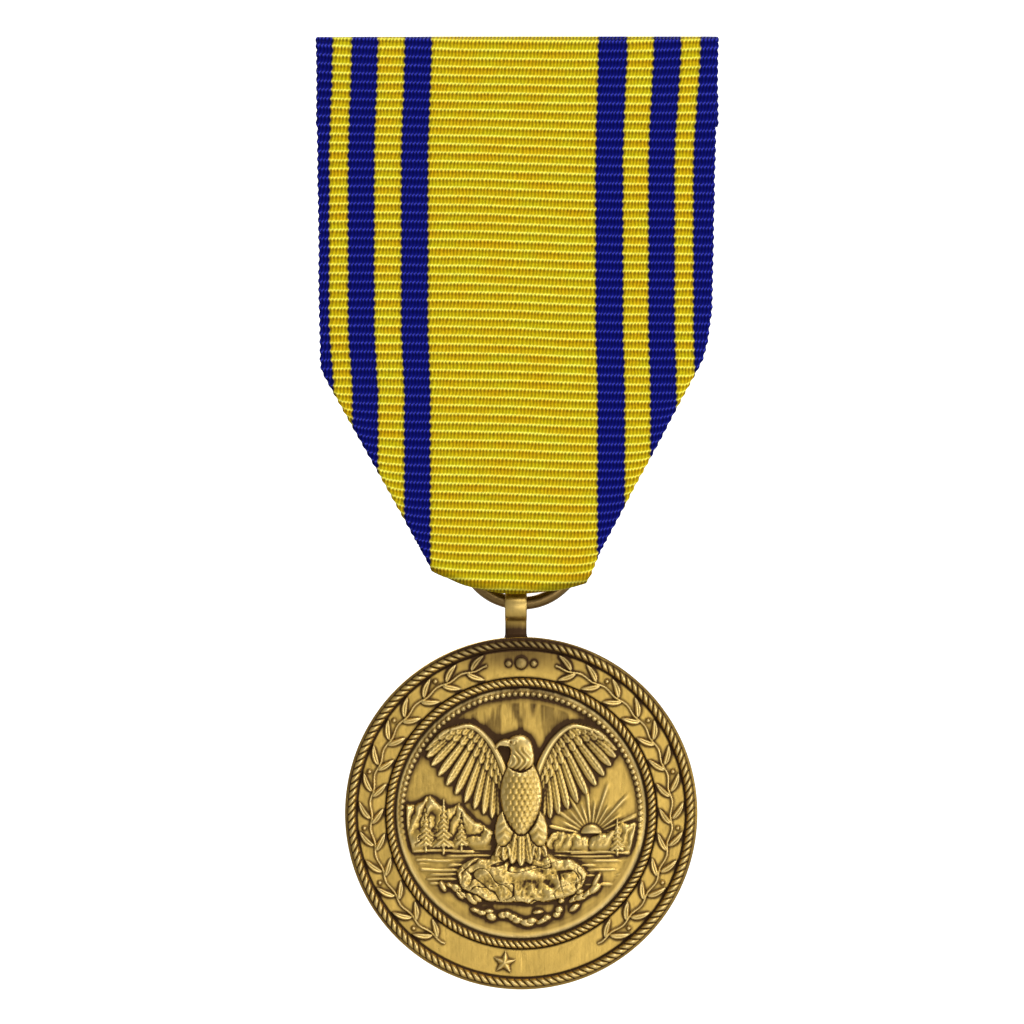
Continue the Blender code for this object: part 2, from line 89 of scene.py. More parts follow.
def value_noise(x, y, seed):
    """Smooth lattice noise, about -1 to 1."""
    table = np.random.default_rng(seed).uniform(-1, 1, (256, 256))
    xi = np.floor(x).astype(int)
    yi = np.floor(y).astype(int)
    fx = x - xi
    fy = y - yi
    fx = fx * fx * (3 - 2 * fx)
    fy = fy * fy * (3 - 2 * fy)
    a = table[xi % 256, yi % 256]
    b = table[(xi + 1) % 256, yi % 256]
    c = table[xi % 256, (yi + 1) % 256]
    d = table[(xi + 1) % 256, (yi + 1) % 256]
    return (a * (1 - fx) + b * fx) * (1 - fy) + (c * (1 - fx) + d * fx) * fy


def fbm(x, y, seed, octaves=4):
    return sum(value_noise(x * 2 ** k, y * 2 ** k, seed + k) / 2 ** k for k in range(octaves))


def blur(field, radius):
    """Three box passes, close to a Gaussian; radius in cells."""
    out = field
    n = max(1, int(round(radius)))
    for axis in (0, 1):
        for _ in range(3):
            pad = [(n, n) if a == axis else (0, 0) for a in range(2)]
            wide = np.pad(out, pad, mode="edge")
            total = np.cumsum(wide, axis=axis)
            zero = np.zeros_like(np.take(total, [0], axis=axis))
            total = np.concatenate([zero, total], axis=axis)
            size = out.shape[axis]
            hi = np.take(total, np.arange(2 * n + 1, 2 * n + 1 + size), axis=axis)
            lo = np.take(total, np.arange(0, size), axis=axis)
            out = (hi - lo) / (2 * n + 1)
    return out


# ---------------------------------------------------------------- relief shapes
def curve_points(points, closed=True, steps=8):
    """Catmull-Rom through the given points."""
    p = np.asarray(points, float)
    n = len(p)
    out = []
    last = n if closed else n - 1
    for i in range(last):
        if closed:
            a, b, c, d = p[(i - 1) % n], p[i], p[(i + 1) % n], p[(i + 2) % n]
        else:
            a, b, c, d = p[max(i - 1, 0)], p[i], p[i + 1], p[min(i + 2, n - 1)]
        for k in range(steps):
            t = k / steps
            out.append(0.5 * (2 * b + (c - a) * t + (2 * a - 5 * b + 4 * c - d) * t * t
                              + (3 * b - a - 3 * c + d) * t ** 3))
    if not closed:
        out.append(p[-1])
    return np.array(out)


def segment_distance(X, Z, a, b):
    ab = b - a
    length = max(float(ab @ ab), 1e-12)
    t = np.clip(((X - a[0]) * ab[0] + (Z - a[1]) * ab[1]) / length, 0, 1)
    return np.hypot(X - a[0] - ab[0] * t, Z - a[1] - ab[1] * t), t


def inside_distance(X, Z, outline):
    """Signed distance to a closed outline, positive inside."""
    dist = np.full(X.shape, 1e9)
    inside = np.zeros(X.shape, bool)
    n = len(outline)
    for i in range(n):
        a, b = outline[i], outline[(i + 1) % n]
        d, _ = segment_distance(X, Z, a, b)
        dist = np.minimum(dist, d)
        crosses = (a[1] > Z) != (b[1] > Z)
        with np.errstate(divide="ignore", invalid="ignore"):
            at = (b[0] - a[0]) * (Z - a[1]) / (b[1] - a[1] + 1e-15) + a[0]
        inside ^= crosses & (X < at)
    return np.where(inside, dist, -dist)


def cap(u, v=0.0):
    """Half a unit ball from above: 1 in the middle, 0 from the unit circle on."""
    return np.sqrt(np.clip(1 - u ** 2 - v ** 2, 0, 1))


def dome(d, reach, height):
    """Rounded rise from an outline: 0 outside, height where d passes reach."""
    return height * cap(1 - np.clip(d / reach, 0, 1))


def stroke(X, Z, points, width, height, taper=None):
    """Rounded ridge along a line; taper gives the share of width left at the end."""
    out = np.zeros(X.shape)
    n = len(points) - 1
    for i in range(n):
        d, t = segment_distance(X, Z, np.asarray(points[i], float), np.asarray(points[i + 1], float))
        w = width
        if taper is not None:
            w = width * (1 - (1 - taper) * (i + t) / n)
        out = np.maximum(out, height * cap(d / w))
    return out


def turned(x, z, angle):
    """The same place on axes turned by angle."""
    ca, sa = math.cos(angle), math.sin(angle)
    return x * ca + z * sa, -x * sa + z * ca


def feather(X, Z, root, angle, length, width, height, tilt=0.35):
    """One blade with a rounded tip and a sunk quill; one side stands higher, as overlapping feathers do."""
    u, v = turned(X - root[0], Z - root[1], angle)
    t = u / length
    body = cap(np.clip((t - 0.72) / 0.28, 0, 1))
    half = width * (0.72 + 0.28 * np.clip(t * 1.6, 0, 1)) * body
    ok = (t > -0.04) & (t < 1) & (half > 1e-6)
    s = np.where(ok, v / np.maximum(half, 1e-6), 9)
    h = height * cap(s) ** 0.7 * (1 + tilt * s)
    h -= 0.28 * height * np.exp(-(v / (width * 0.13)) ** 2) * (t > 0.05) * (t < 0.93)
    barbs = 0.05 * height * np.sin((u + np.abs(v) * 0.9) * 16.0)
    h = np.where(np.abs(s) < 0.95, h + barbs, h)
    return np.where(ok & (np.abs(s) < 1), np.maximum(h, 0), 0)


def paint(h, shape, base):
    """Lay a shape over what is there, standing on its own base."""
    return np.where(shape > 1e-4, base + shape, h)


def mountain_range(X, Z, ridge, foot, height, seed):
    """Hills below a ridge line, cut by gullies that run down from it."""
    xs = [p[0] for p in ridge]
    zs = [p[1] for p in ridge]
    top = np.interp(X, xs, zs, left=-99, right=-99) + 0.16 * fbm(X * 1.7, X * 0 + 3.1, seed)
    down = top - Z
    body = (down > 0) & (Z > foot)
    warp = X + 0.35 * fbm(X * 0.9, Z * 0.9, seed + 5)
    gully = np.abs(value_noise(warp * 1.05 + down * 0.50, down * 0.25, seed + 9))
    crag = 0.5 + 1.1 * gully ** 0.8 + 0.10 * np.abs(fbm(X * 2.0, Z * 2.0, seed + 2, 2))
    fade = smoothstep(foot, foot + 0.7, Z)
    return np.where(body, height * np.clip(down * 2.5, 0, 1) ** 0.5 * crag * (0.35 + 0.65 * fade), 0)


def pine(X, Z, foot, tall, wide, seed):
    """A conifer in five drooping tiers."""
    out = stroke(X, Z, [(foot[0], foot[1]), (foot[0], foot[1] + tall * 0.35)], 0.11, 0.16)
    for k in range(5):
        t = k / 4
        z0 = foot[1] + tall * (0.16 + 0.62 * t)
        w = wide * (1 - 0.78 * t)
        hgt = tall * 0.36
        a = np.clip((z0 + hgt - Z) / hgt, 0, 1)
        edge = w * a ** 0.85 * (1 + 0.22 * np.sin(a * 14 + seed + k))
        ok = (Z > z0 - 0.16 * w * np.abs(np.cos((X - foot[0]) * 7 + k))) & (Z < z0 + hgt)
        s = np.abs(X - foot[0]) / np.maximum(edge, 1e-6)
        needles = 0.80 + 0.20 * np.cos((Z + 0.8 * np.abs(X - foot[0])) * 15 + seed)
        tier = 0.24 * cap(s) * needles * (0.55 + 0.45 * a)
        out = np.where(ok & (s < 1), np.maximum(out, tier + 0.03 * (4 - k) / 4), out)
    return out


def wing(h, X, Z, side):
    """A raised wing: long flight feathers, two rows of coverts, and a rounded leading edge."""
    Xs = X * side
    lead = curve_points([(1.1, 2.0), (1.8, 3.9), (2.8, 5.5), (4.1, 6.45), (5.6, 6.2)], closed=False, steps=12)
    steps = np.hypot(*np.diff(lead, axis=0).T)
    along = np.concatenate([[0], np.cumsum(steps)])
    along = along / along[-1]

    def at(t):
        return np.array([np.interp(t, along, lead[:, 0]), np.interp(t, along, lead[:, 1])])

    # Flight feathers, then two rows of coverts: count, first root and run of roots along the edge,
    # lowest angle, fan and its power, length, half width, height, base and how much it rises.
    rows = ((15, 0.06, 0.93, -101, 74, 1.25, lambda t: 4.1 + 1.3 * math.sin(math.pi * min(1, t * 1.05)) - 1.5 * t ** 6,
             0.34, 0.17, 0.1, 0.05),
            (13, 0.05, 0.9, -97, 66, 1.2, lambda t: 2.15 - 0.5 * t, 0.33, 0.17, 0.2, 0.04),
            (14, 0.03, 0.88, -95, 58, 1.0, lambda t: 1.15 - 0.25 * t, 0.3, 0.16, 0.28, 0.03))
    for count, root, run, low, fan, power, length, half, tall, base, lift in rows:
        for i in range(count):
            t = 1 - i / (count - 1)
            f = feather(Xs, Z, at(root + run * t), math.radians(low + fan * t ** power), length(t), half, tall)
            h = paint(h, f, base + lift * (1 - t))
    edge = stroke(Xs, Z, lead[::3], 0.36, 0.3, taper=0.45)
    return paint(h, edge, 0.26)


def medallion_height(X, Z):
    """An eagle on a crag before a rising sun, with pines, hills, water and pebbles: a made-up scene."""
    R = np.hypot(X, Z)
    h = 0.012 * fbm(X * 0.8, Z * 0.8, 11)
    # The ground swells gently towards the middle.
    h = h + 0.10 * np.clip(1 - (R / 10.6) ** 2, 0, 1)
    sun = np.array([6.1, -1.9])
    horizon = -1.75
    dx, dz = X - sun[0], Z - sun[1]
    reach = np.hypot(dx, dz)
    turn = np.degrees(np.arctan2(dz, dx))
    rays = np.clip(np.cos(np.radians(turn) * 30), 0, 1) ** 0.8
    limit = 4.2 + 0.9 * np.cos(np.radians(turn) * 15)
    rays = rays * smoothstep(1.0, 1.5, reach) * (1 - smoothstep(limit - 1.4, limit, reach)) * (Z > horizon)
    h = h + 0.10 * rays
    disc = cap(reach / 0.95) * (Z > horizon)
    h = np.where(disc > 0, np.maximum(h, 0.1 + 0.24 * disc), h)
    hills = mountain_range(X, Z, [(-11.6, 0.1), (-9.2, 0.9), (-7.9, 1.5), (-6.6, 0.4), (-5.4, 0.9), (-4.0, -0.6),
                                  (-2.6, -1.3), (-1.0, -1.7)], -3.2, 0.26, 21)
    h = paint(h, hills, 0.06)
    low = mountain_range(X, Z, [(2.2, -1.9), (3.6, -1.45), (4.6, -1.75), (5.7, -2.0), (7.4, -1.7), (8.6, -1.0),
                                (11.6, -0.5)], -3.4, 0.24, 33)
    h = paint(h, low, 0.08)
    # Water in broken ripples on both sides of the crag.
    ripple = np.sin(Z * 15 + 1.6 * value_noise(X * 0.7, Z * 2.2, 51)) * 0.5 + 0.5
    broken = smoothstep(-0.25, 0.3, value_noise(X * 0.55, Z * 3.1, 57))
    sea = (Z < -3.3) & (Z > -6.6)
    h = h + np.where(sea, 0.1 * ripple ** 2 * broken, 0) * smoothstep(-6.6, -6.0, Z)
    shore = stroke(X, Z, [(-10.2, -3.3), (-7.0, -3.2), (-4.2, -3.35)], 0.13, 0.14)
    shore = np.maximum(shore, stroke(X, Z, [(4.4, -3.45), (7.5, -3.35), (10.0, -3.5)], 0.13, 0.14))
    h = np.maximum(h, 0.07 + shore) * (shore > 0) + h * (shore <= 0)
    for x, z, tall, wide, seed in ((-8.3, -3.3, 3.5, 0.85, 1), (-6.75, -3.5, 4.3, 1.0, 2), (-5.2, -3.2, 3.0, 0.75, 3),
                                   (8.35, -3.6, 2.9, 0.75, 4)):
        h = paint(h, pine(X, Z, (x, z), tall, wide, seed), 0.16)
    # Crag, split by cracks into blocks.
    crag = curve_points([(-5.5, -4.9), (-4.2, -3.9), (-2.9, -3.9), (-2.0, -3.1), (0.2, -2.8), (2.2, -3.0),
                         (3.0, -3.75), (4.5, -4.0), (5.7, -5.2), (5.2, -6.5), (3.7, -7.4), (0.4, -7.8),
                         (-2.9, -7.6), (-5.1, -6.5)], steps=6)
    rough = 0.12 * fbm(X * 1.4, Z * 1.4, 61)
    d = inside_distance(X, Z, crag) + rough
    blocks = np.minimum(np.abs(value_noise(X * 0.9 + 0.4 * Z, Z * 0.55, 71)),
                        np.abs(value_noise(X * 0.5, Z * 1.3 - X * 0.35, 73)))
    facets = 0.16 * value_noise(X * 0.8 + Z * 0.3, Z * 1.15, 77) + 0.06 * fbm(X * 2.2, Z * 2.2, 79)
    stone = dome(d, 1.1, 0.34) + np.where(d > 0.1, facets - 0.16 * np.exp(-(blocks / 0.035) ** 2), 0)
    h = np.where(d > 0, np.maximum(0.12 + stone, 0.1), h)
    # Pebbles along the bottom.
    pebbles = np.random.default_rng(5)
    for k in range(30):
        a = math.radians(-90 + 96 * (k / 29 - 0.5) + pebbles.uniform(-1.5, 1.5))
        rr = pebbles.uniform(8.3, 9.55)
        px, pz = rr * math.cos(a), rr * math.sin(a)
        w, t = pebbles.uniform(0.3, 0.75), pebbles.uniform(0.2, 0.36)
        tilt = a + math.pi / 2 + pebbles.uniform(-0.3, 0.3)
        u, v = turned(X - px, Z - pz, tilt)
        lump = 0.26 * cap(u / w, v / t)
        h = paint(h, lump, 0.09)
    # The bird stands a little above the middle and fills the field.
    disc_x, disc_z = X, Z
    X, Z = X / 1.08, (Z - 0.62) / 1.08
    # Tail fan, behind the legs.
    for k in (-3, 3, -2, 2, -1, 1, 0):
        f = feather(X, Z, (0.16 * k, -1.2), math.radians(-90 + 9.5 * k), 3.6 - 0.12 * abs(k), 0.38, 0.2,
                    tilt=0.25 * (k > 0) - 0.25 * (k < 0))
        h = paint(h, f, 0.34 + 0.02 * (3 - abs(k)))
    for side in (-1, 1):
        h = wing(h, X, Z, side)
    # Thighs and feet.
    for side in (-1, 1):
        for j in (-1, 0, 1):
            toe = curve_points([(side * 1.45, -2.95), (side * 1.45 + 0.42 * j, -3.35), (side * 1.5 + 0.55 * j, -3.95)],
                               closed=False, steps=5)
            h = paint(h, stroke(X, Z, toe, 0.2, 0.26, taper=0.45), 0.4)
        u, v = X - side * 1.3, Z + 1.75
        lean = u + side * 0.12 * v
        thigh = 0.38 * cap(lean / 0.82, v / 1.55)
        thigh = np.where(thigh > 0, thigh * (1 + 0.1 * np.sin(v * 9 + np.abs(lean) * 7)), 0)
        h = paint(h, thigh, 0.36)
    # Breast, set with rows of small feathers.
    breast = curve_points([(0.0, 4.0), (0.95, 3.5), (1.55, 2.3), (1.7, 0.7), (1.25, -1.2), (0.35, -2.3), (-0.35, -2.3),
                           (-1.25, -1.2), (-1.7, 0.7), (-1.55, 2.3), (-0.95, 3.5)], steps=6)
    d = inside_distance(X, Z, breast)
    body = dome(d, 1.6, 0.52)
    scales = np.zeros(X.shape)
    for row in range(11, -1, -1):
        z0 = 3.2 - row * 0.46
        for k in range(-4, 5):
            x0 = (k + 0.5 * (row % 2)) * 0.5
            u, v = (X - x0) / 0.29, (Z - z0) / 0.4
            lump = cap(u, v)
            scales = np.where(lump > 0, 0.08 * lump - 0.05 * v, scales)
    h = np.where(d > 0, 0.34 + body + np.where(d > 0.12, scales - 0.03, 0), h)
    # Neck and head in profile.
    head = curve_points([(0.95, 3.3), (1.0, 4.4), (0.72, 5.3), (0.1, 5.75), (-0.65, 5.65), (-1.12, 5.25), (-1.2, 4.95),
                         (-0.85, 4.55), (-0.95, 3.9), (-1.1, 3.2), (0.0, 2.7)], steps=6)
    d = inside_distance(X, Z, head)
    crown = dome(d, 0.95, 0.4)
    hackle = 0.05 * np.sin((X * 0.8 + 0.28 * np.sin(Z * 3.0)) * 17)
    hackle = hackle * smoothstep(5.0, 4.2, Z) * smoothstep(0.05, 0.25, d)
    h = np.where(d > 0, np.maximum(0.46 + crown + hackle, 0.4), h)
    beak = curve_points([(-0.85, 5.35), (-1.45, 5.4), (-1.95, 5.12), (-2.12, 4.62), (-1.88, 4.66), (-1.62, 4.86),
                         (-0.95, 4.82)], steps=6)
    d = inside_distance(X, Z, beak)
    h = paint(h, dome(d, 0.3, 0.34), 0.44)
    h = h - 0.12 * np.exp(-((Z - 4.98 + 0.06 * (X + 1.2)) / 0.05) ** 2) * ((X > -1.75) & (X < -0.95))
    h = h + stroke(X, Z, [(-0.95, 5.38), (-0.35, 5.3)], 0.14, 0.1)
    eye = np.hypot(X + 0.62, Z - 5.1)
    h = np.where(eye < 0.27, h - 0.1 * (1 - (eye / 0.27) ** 2), h)
    h = np.where(eye < 0.15, h + 0.14 * cap(eye / 0.15), h)
    X, Z = disc_x, disc_z
    # Ring of beads inside the rope, fading out low down.
    beads = 124
    turn = np.arctan2(X, Z)
    a = np.round(turn / (2 * math.pi) * beads) * 2 * math.pi / beads
    away = np.hypot(X - 10.38 * np.sin(a), Z - 10.38 * np.cos(a))
    strong = smoothstep(108, 78, np.abs(np.degrees(a)))
    bead = 0.2 * cap(away / 0.225) * strong
    clear = smoothstep(9.9, 10.12, R)
    return h * (1 - clear) + (0.02 + bead) * clear


def band_height(S, Q):
    """Laurel on the band: leaves run down each side from three bosses at the top to a star at the bottom.
    S is the angle from the top in radians, Q the distance from the band's middle in mm."""
    mid = BAND_MIDDLE
    h = 0.01 * fbm(S * 9, Q * 0.8, 41)
    arc = S * mid
    pairs = 13
    first = math.radians(9.0)
    pitch = math.radians(135) / pairs
    for side in (-1, 1):
        A = arc * side
        wave = 0.10 * np.sin(A * 2 * math.pi / (pitch * mid))
        on_stem = (A > mid * (first + 0.4 * pitch)) & (A < mid * (first + pitch * (pairs + 0.55)))
        stem = 0.17 * cap((Q - wave) / 0.10)
        h = np.where(on_stem & (stem > 0), 0.04 + stem, h)
        for k in range(pairs):
            foot = mid * (first + pitch * (k + 1))
            for sign, slide in ((1, 0.0), (-1, 0.45)):
                u, v = turned(A - foot - slide, Q - sign * 0.08, math.radians(180 - sign * 35))
                t = np.clip(u / 1.7, 0, 1)
                v = v + sign * 0.10 * np.sin(math.pi * t)
                half = 0.27 * np.sin(math.pi * t ** 0.8) ** 0.75 + 1e-6
                s = v / half
                ok = (u > 0) & (u < 1.7) & (np.abs(s) < 1)
                leaf = 0.30 * cap(s) ** 0.8 - 0.12 * np.exp(-(v / 0.055) ** 2)
                h = np.where(ok, np.maximum(0.05 + leaf, 0.04), h)
            if k % 2:
                berry = 0.24 * cap(np.hypot(A - foot - 0.75, Q - 0.62) / 0.19)
                h = np.where(berry > 0, 0.04 + berry, h)
    # A large boss at the top between two small ones.
    for at, radius, tall in ((0, 0.5, 0.3), (-1.1, 0.28, 0.22), (1.1, 0.28, 0.22)):
        boss = tall * cap(np.hypot(arc - at, Q) / radius)
        h = np.where(boss > 0, 0.03 + boss, h)
    # The star sits a little to the left of the lowest point.
    low = np.mod(S - 0.112, 2 * math.pi) * mid - math.pi * mid
    a = np.arctan2(low, -Q)
    r = np.hypot(low, Q)
    k = np.mod(a, 2 * math.pi / 5) - math.pi / 5
    outer, inner = 1.02, 0.44
    tip = np.cos(math.pi / 5 - np.abs(k))
    lean = (outer - inner * math.cos(math.pi / 5)) / (inner * math.sin(math.pi / 5))
    edge = outer / (tip + lean * np.sin(math.pi / 5 - np.abs(k)))
    share = r / edge
    star = np.where(share < 1, 0.14 + 0.30 * (1 - share), 0)
    return np.where(star > 0, 0.04 + star, h)


def rope_height(S, R, rope):
    """Twisted rope: rounded across, with slanted strands."""
    middle, half, strands, height = rope
    Q = R - middle
    phase = S * strands / (2 * math.pi) + Q / half * 0.55
    cell = np.mod(phase, 1.0) - 0.5
    return height * cap(Q / half) * (0.2 + 0.8 * cap(cell / 0.5))


# ---------------------------------------------------------------- materials
class Nodes:
    """Short-hand for building a node tree."""

    def __init__(self, name):
        self.mat = bpy.data.materials.new(name)
        self.mat.use_nodes = True
        self.tree = self.mat.node_tree
        self.shader = self.tree.nodes["Principled BSDF"]

    def add(self, kind, **values):
        node = self.tree.nodes.new(kind)
        for key, value in values.items():
            setattr(node, key, value)
        return node

    def link(self, a, b):
        self.tree.links.new(a, b)

    def feed(self, node, slot, value):
        if value is None:
            return
        if hasattr(value, "is_output"):
            self.link(value, node.inputs[slot])
        else:
            node.inputs[slot].default_value = value

    def math(self, op, a, b=None, c=None):
        node = self.add("ShaderNodeMath", operation=op)
        for i, value in enumerate((a, b, c)):
            self.feed(node, i, value)
        return node.outputs[0]

    def plus(self, a, b):
        return self.math("ADD", a, b)

    def minus(self, a, b):
        return self.math("SUBTRACT", a, b)

    def times(self, a, b):
        return self.math("MULTIPLY", a, b)

    def swing(self, value, gain):
        """A 0 to 1 noise made to vary about 0."""
        return self.times(self.minus(value, 0.5), gain)

    def attr(self, name):
        return self.add("ShaderNodeAttribute", attribute_name=name).outputs["Fac"]

    def place(self, scale):
        where = self.add("ShaderNodeTexCoord").outputs["Object"]
        node = self.add("ShaderNodeMapping")
        self.link(where, node.inputs["Vector"])
        node.inputs["Scale"].default_value = scale
        return node.outputs[0]

    def noise(self, scale, detail=3.0, rough=0.55, size=1.0):
        node = self.add("ShaderNodeTexNoise")
        self.link(self.place(scale), node.inputs["Vector"])
        node.inputs["Scale"].default_value = size
        node.inputs["Detail"].default_value = detail
        node.inputs["Roughness"].default_value = rough
        return node.outputs["Fac"]

    def span(self, value, a, b, low=0.0, high=1.0):
        node = self.add("ShaderNodeMapRange")
        for i, v in enumerate((value, a, b, low, high)):
            self.feed(node, i, v)
        return node.outputs[0]

    def mix(self, fac, a, b, blend="MIX"):
        node = self.add("ShaderNodeMix", data_type="RGBA", blend_type=blend)
        self.feed(node, 0, fac)
        self.feed(node, 6, a)
        self.feed(node, 7, b)
        return node.outputs[2]

    def bump(self, height, strength, distance):
        node = self.add("ShaderNodeBump")
        self.link(height, node.inputs["Height"])
        node.inputs["Strength"].default_value = strength
        node.inputs["Distance"].default_value = distance
        self.link(node.outputs[0], self.shader.inputs["Normal"])


def rgb(r, g, b):
    return (r, g, b, 1.0)


def shade(colour, gain):
    return tuple(min(1, c * gain) for c in colour[:3]) + (1,)


def bronze_material(name, light, brushed, use_attr=True):
    """Antiqued bronze: brushed flats, dark tarnish in the hollows, bright worn crests; the same two attributes also
    carry painted shade, and on the eyelet a painted highlight.
    """
    n = Nodes(name)
    streak = n.noise(brushed, 4.0, 0.6)
    cloud = n.noise((260, 260, 260), 4.0, 0.6)
    grain = n.noise((5200, 5200, 5200), 2.0, 0.5)
    tone = n.plus(n.swing(streak, 0.9),
                  n.swing(cloud, 0.6))
    colour = n.mix(n.span(tone, -0.32, 0.32), shade(light, 0.74),
                   shade(light, 1.19))
    if use_attr:
        # The first attribute holds tarnish in the hollows together with painted shade; the second holds worn crests
        # together with the eyelet's painted highlight.
        patina_and_shade = n.attr("patina_and_shade")
        crest = n.attr("crest")
        ragged = n.plus(patina_and_shade, n.swing(cloud, 0.5))
        ragged = n.plus(ragged, n.swing(streak, 0.35))
        patina_and_shade_fac = n.span(ragged, 0.12, 0.78)
        colour = n.mix(n.times(crest, 0.75), colour, BRONZE_WORN_AND_HIGHLIGHT)
    else:
        patina_and_shade_fac = n.span(n.plus(cloud, n.times(streak, 0.4)), 0.72, 1.0, 0.0, 0.55)
    colour = n.mix(patina_and_shade_fac, colour, BRONZE_DARK)
    n.link(colour, n.shader.inputs["Base Color"])
    n.link(n.span(patina_and_shade_fac, 0.0, 1.0, 1.0, 0.80), n.shader.inputs["Metallic"])
    rough = n.plus(n.span(streak, 0.3, 0.7, 0.25, 0.40), n.times(patina_and_shade_fac, 0.26))
    n.link(n.plus(rough, n.times(grain, 0.06)), n.shader.inputs["Roughness"])
    n.bump(n.plus(n.times(streak, 0.6), n.times(grain, 0.4)), 0.35, 0.00004)
    return n.mat


def brass_material(name, light, rough_low, rough_high, brushed):
    n = Nodes(name)
    streak = n.noise(brushed, 4.0, 0.6)
    cloud = n.noise((300, 300, 300), 4.0, 0.6)
    spots = n.span(n.noise((900, 900, 900), 5.0, 0.65), 0.58, 0.72, 0.0, 0.6)
    colour = n.mix(n.span(cloud, 0.35, 0.65), shade(light, 0.78), light)
    colour = n.mix(n.times(n.span(streak, 0.4, 0.65), 0.3), colour, shade(light, 1.25))
    colour = n.mix(spots, colour, shade(light, 0.42))
    n.link(colour, n.shader.inputs["Base Color"])
    n.shader.inputs["Metallic"].default_value = 1.0
    n.link(n.plus(n.span(streak, 0.3, 0.7, rough_low, rough_high), n.times(spots, 0.25)),
           n.shader.inputs["Roughness"])
    n.bump(streak, 0.3, 0.00004)
    return n.mat


STRIPE_EDGES = (-16.0, -14.38, -12.08, -9.76, -7.42, 7.06, 9.56, 11.86, 14.26, 15.94)
RIB = 0.756
WARP = 0.31


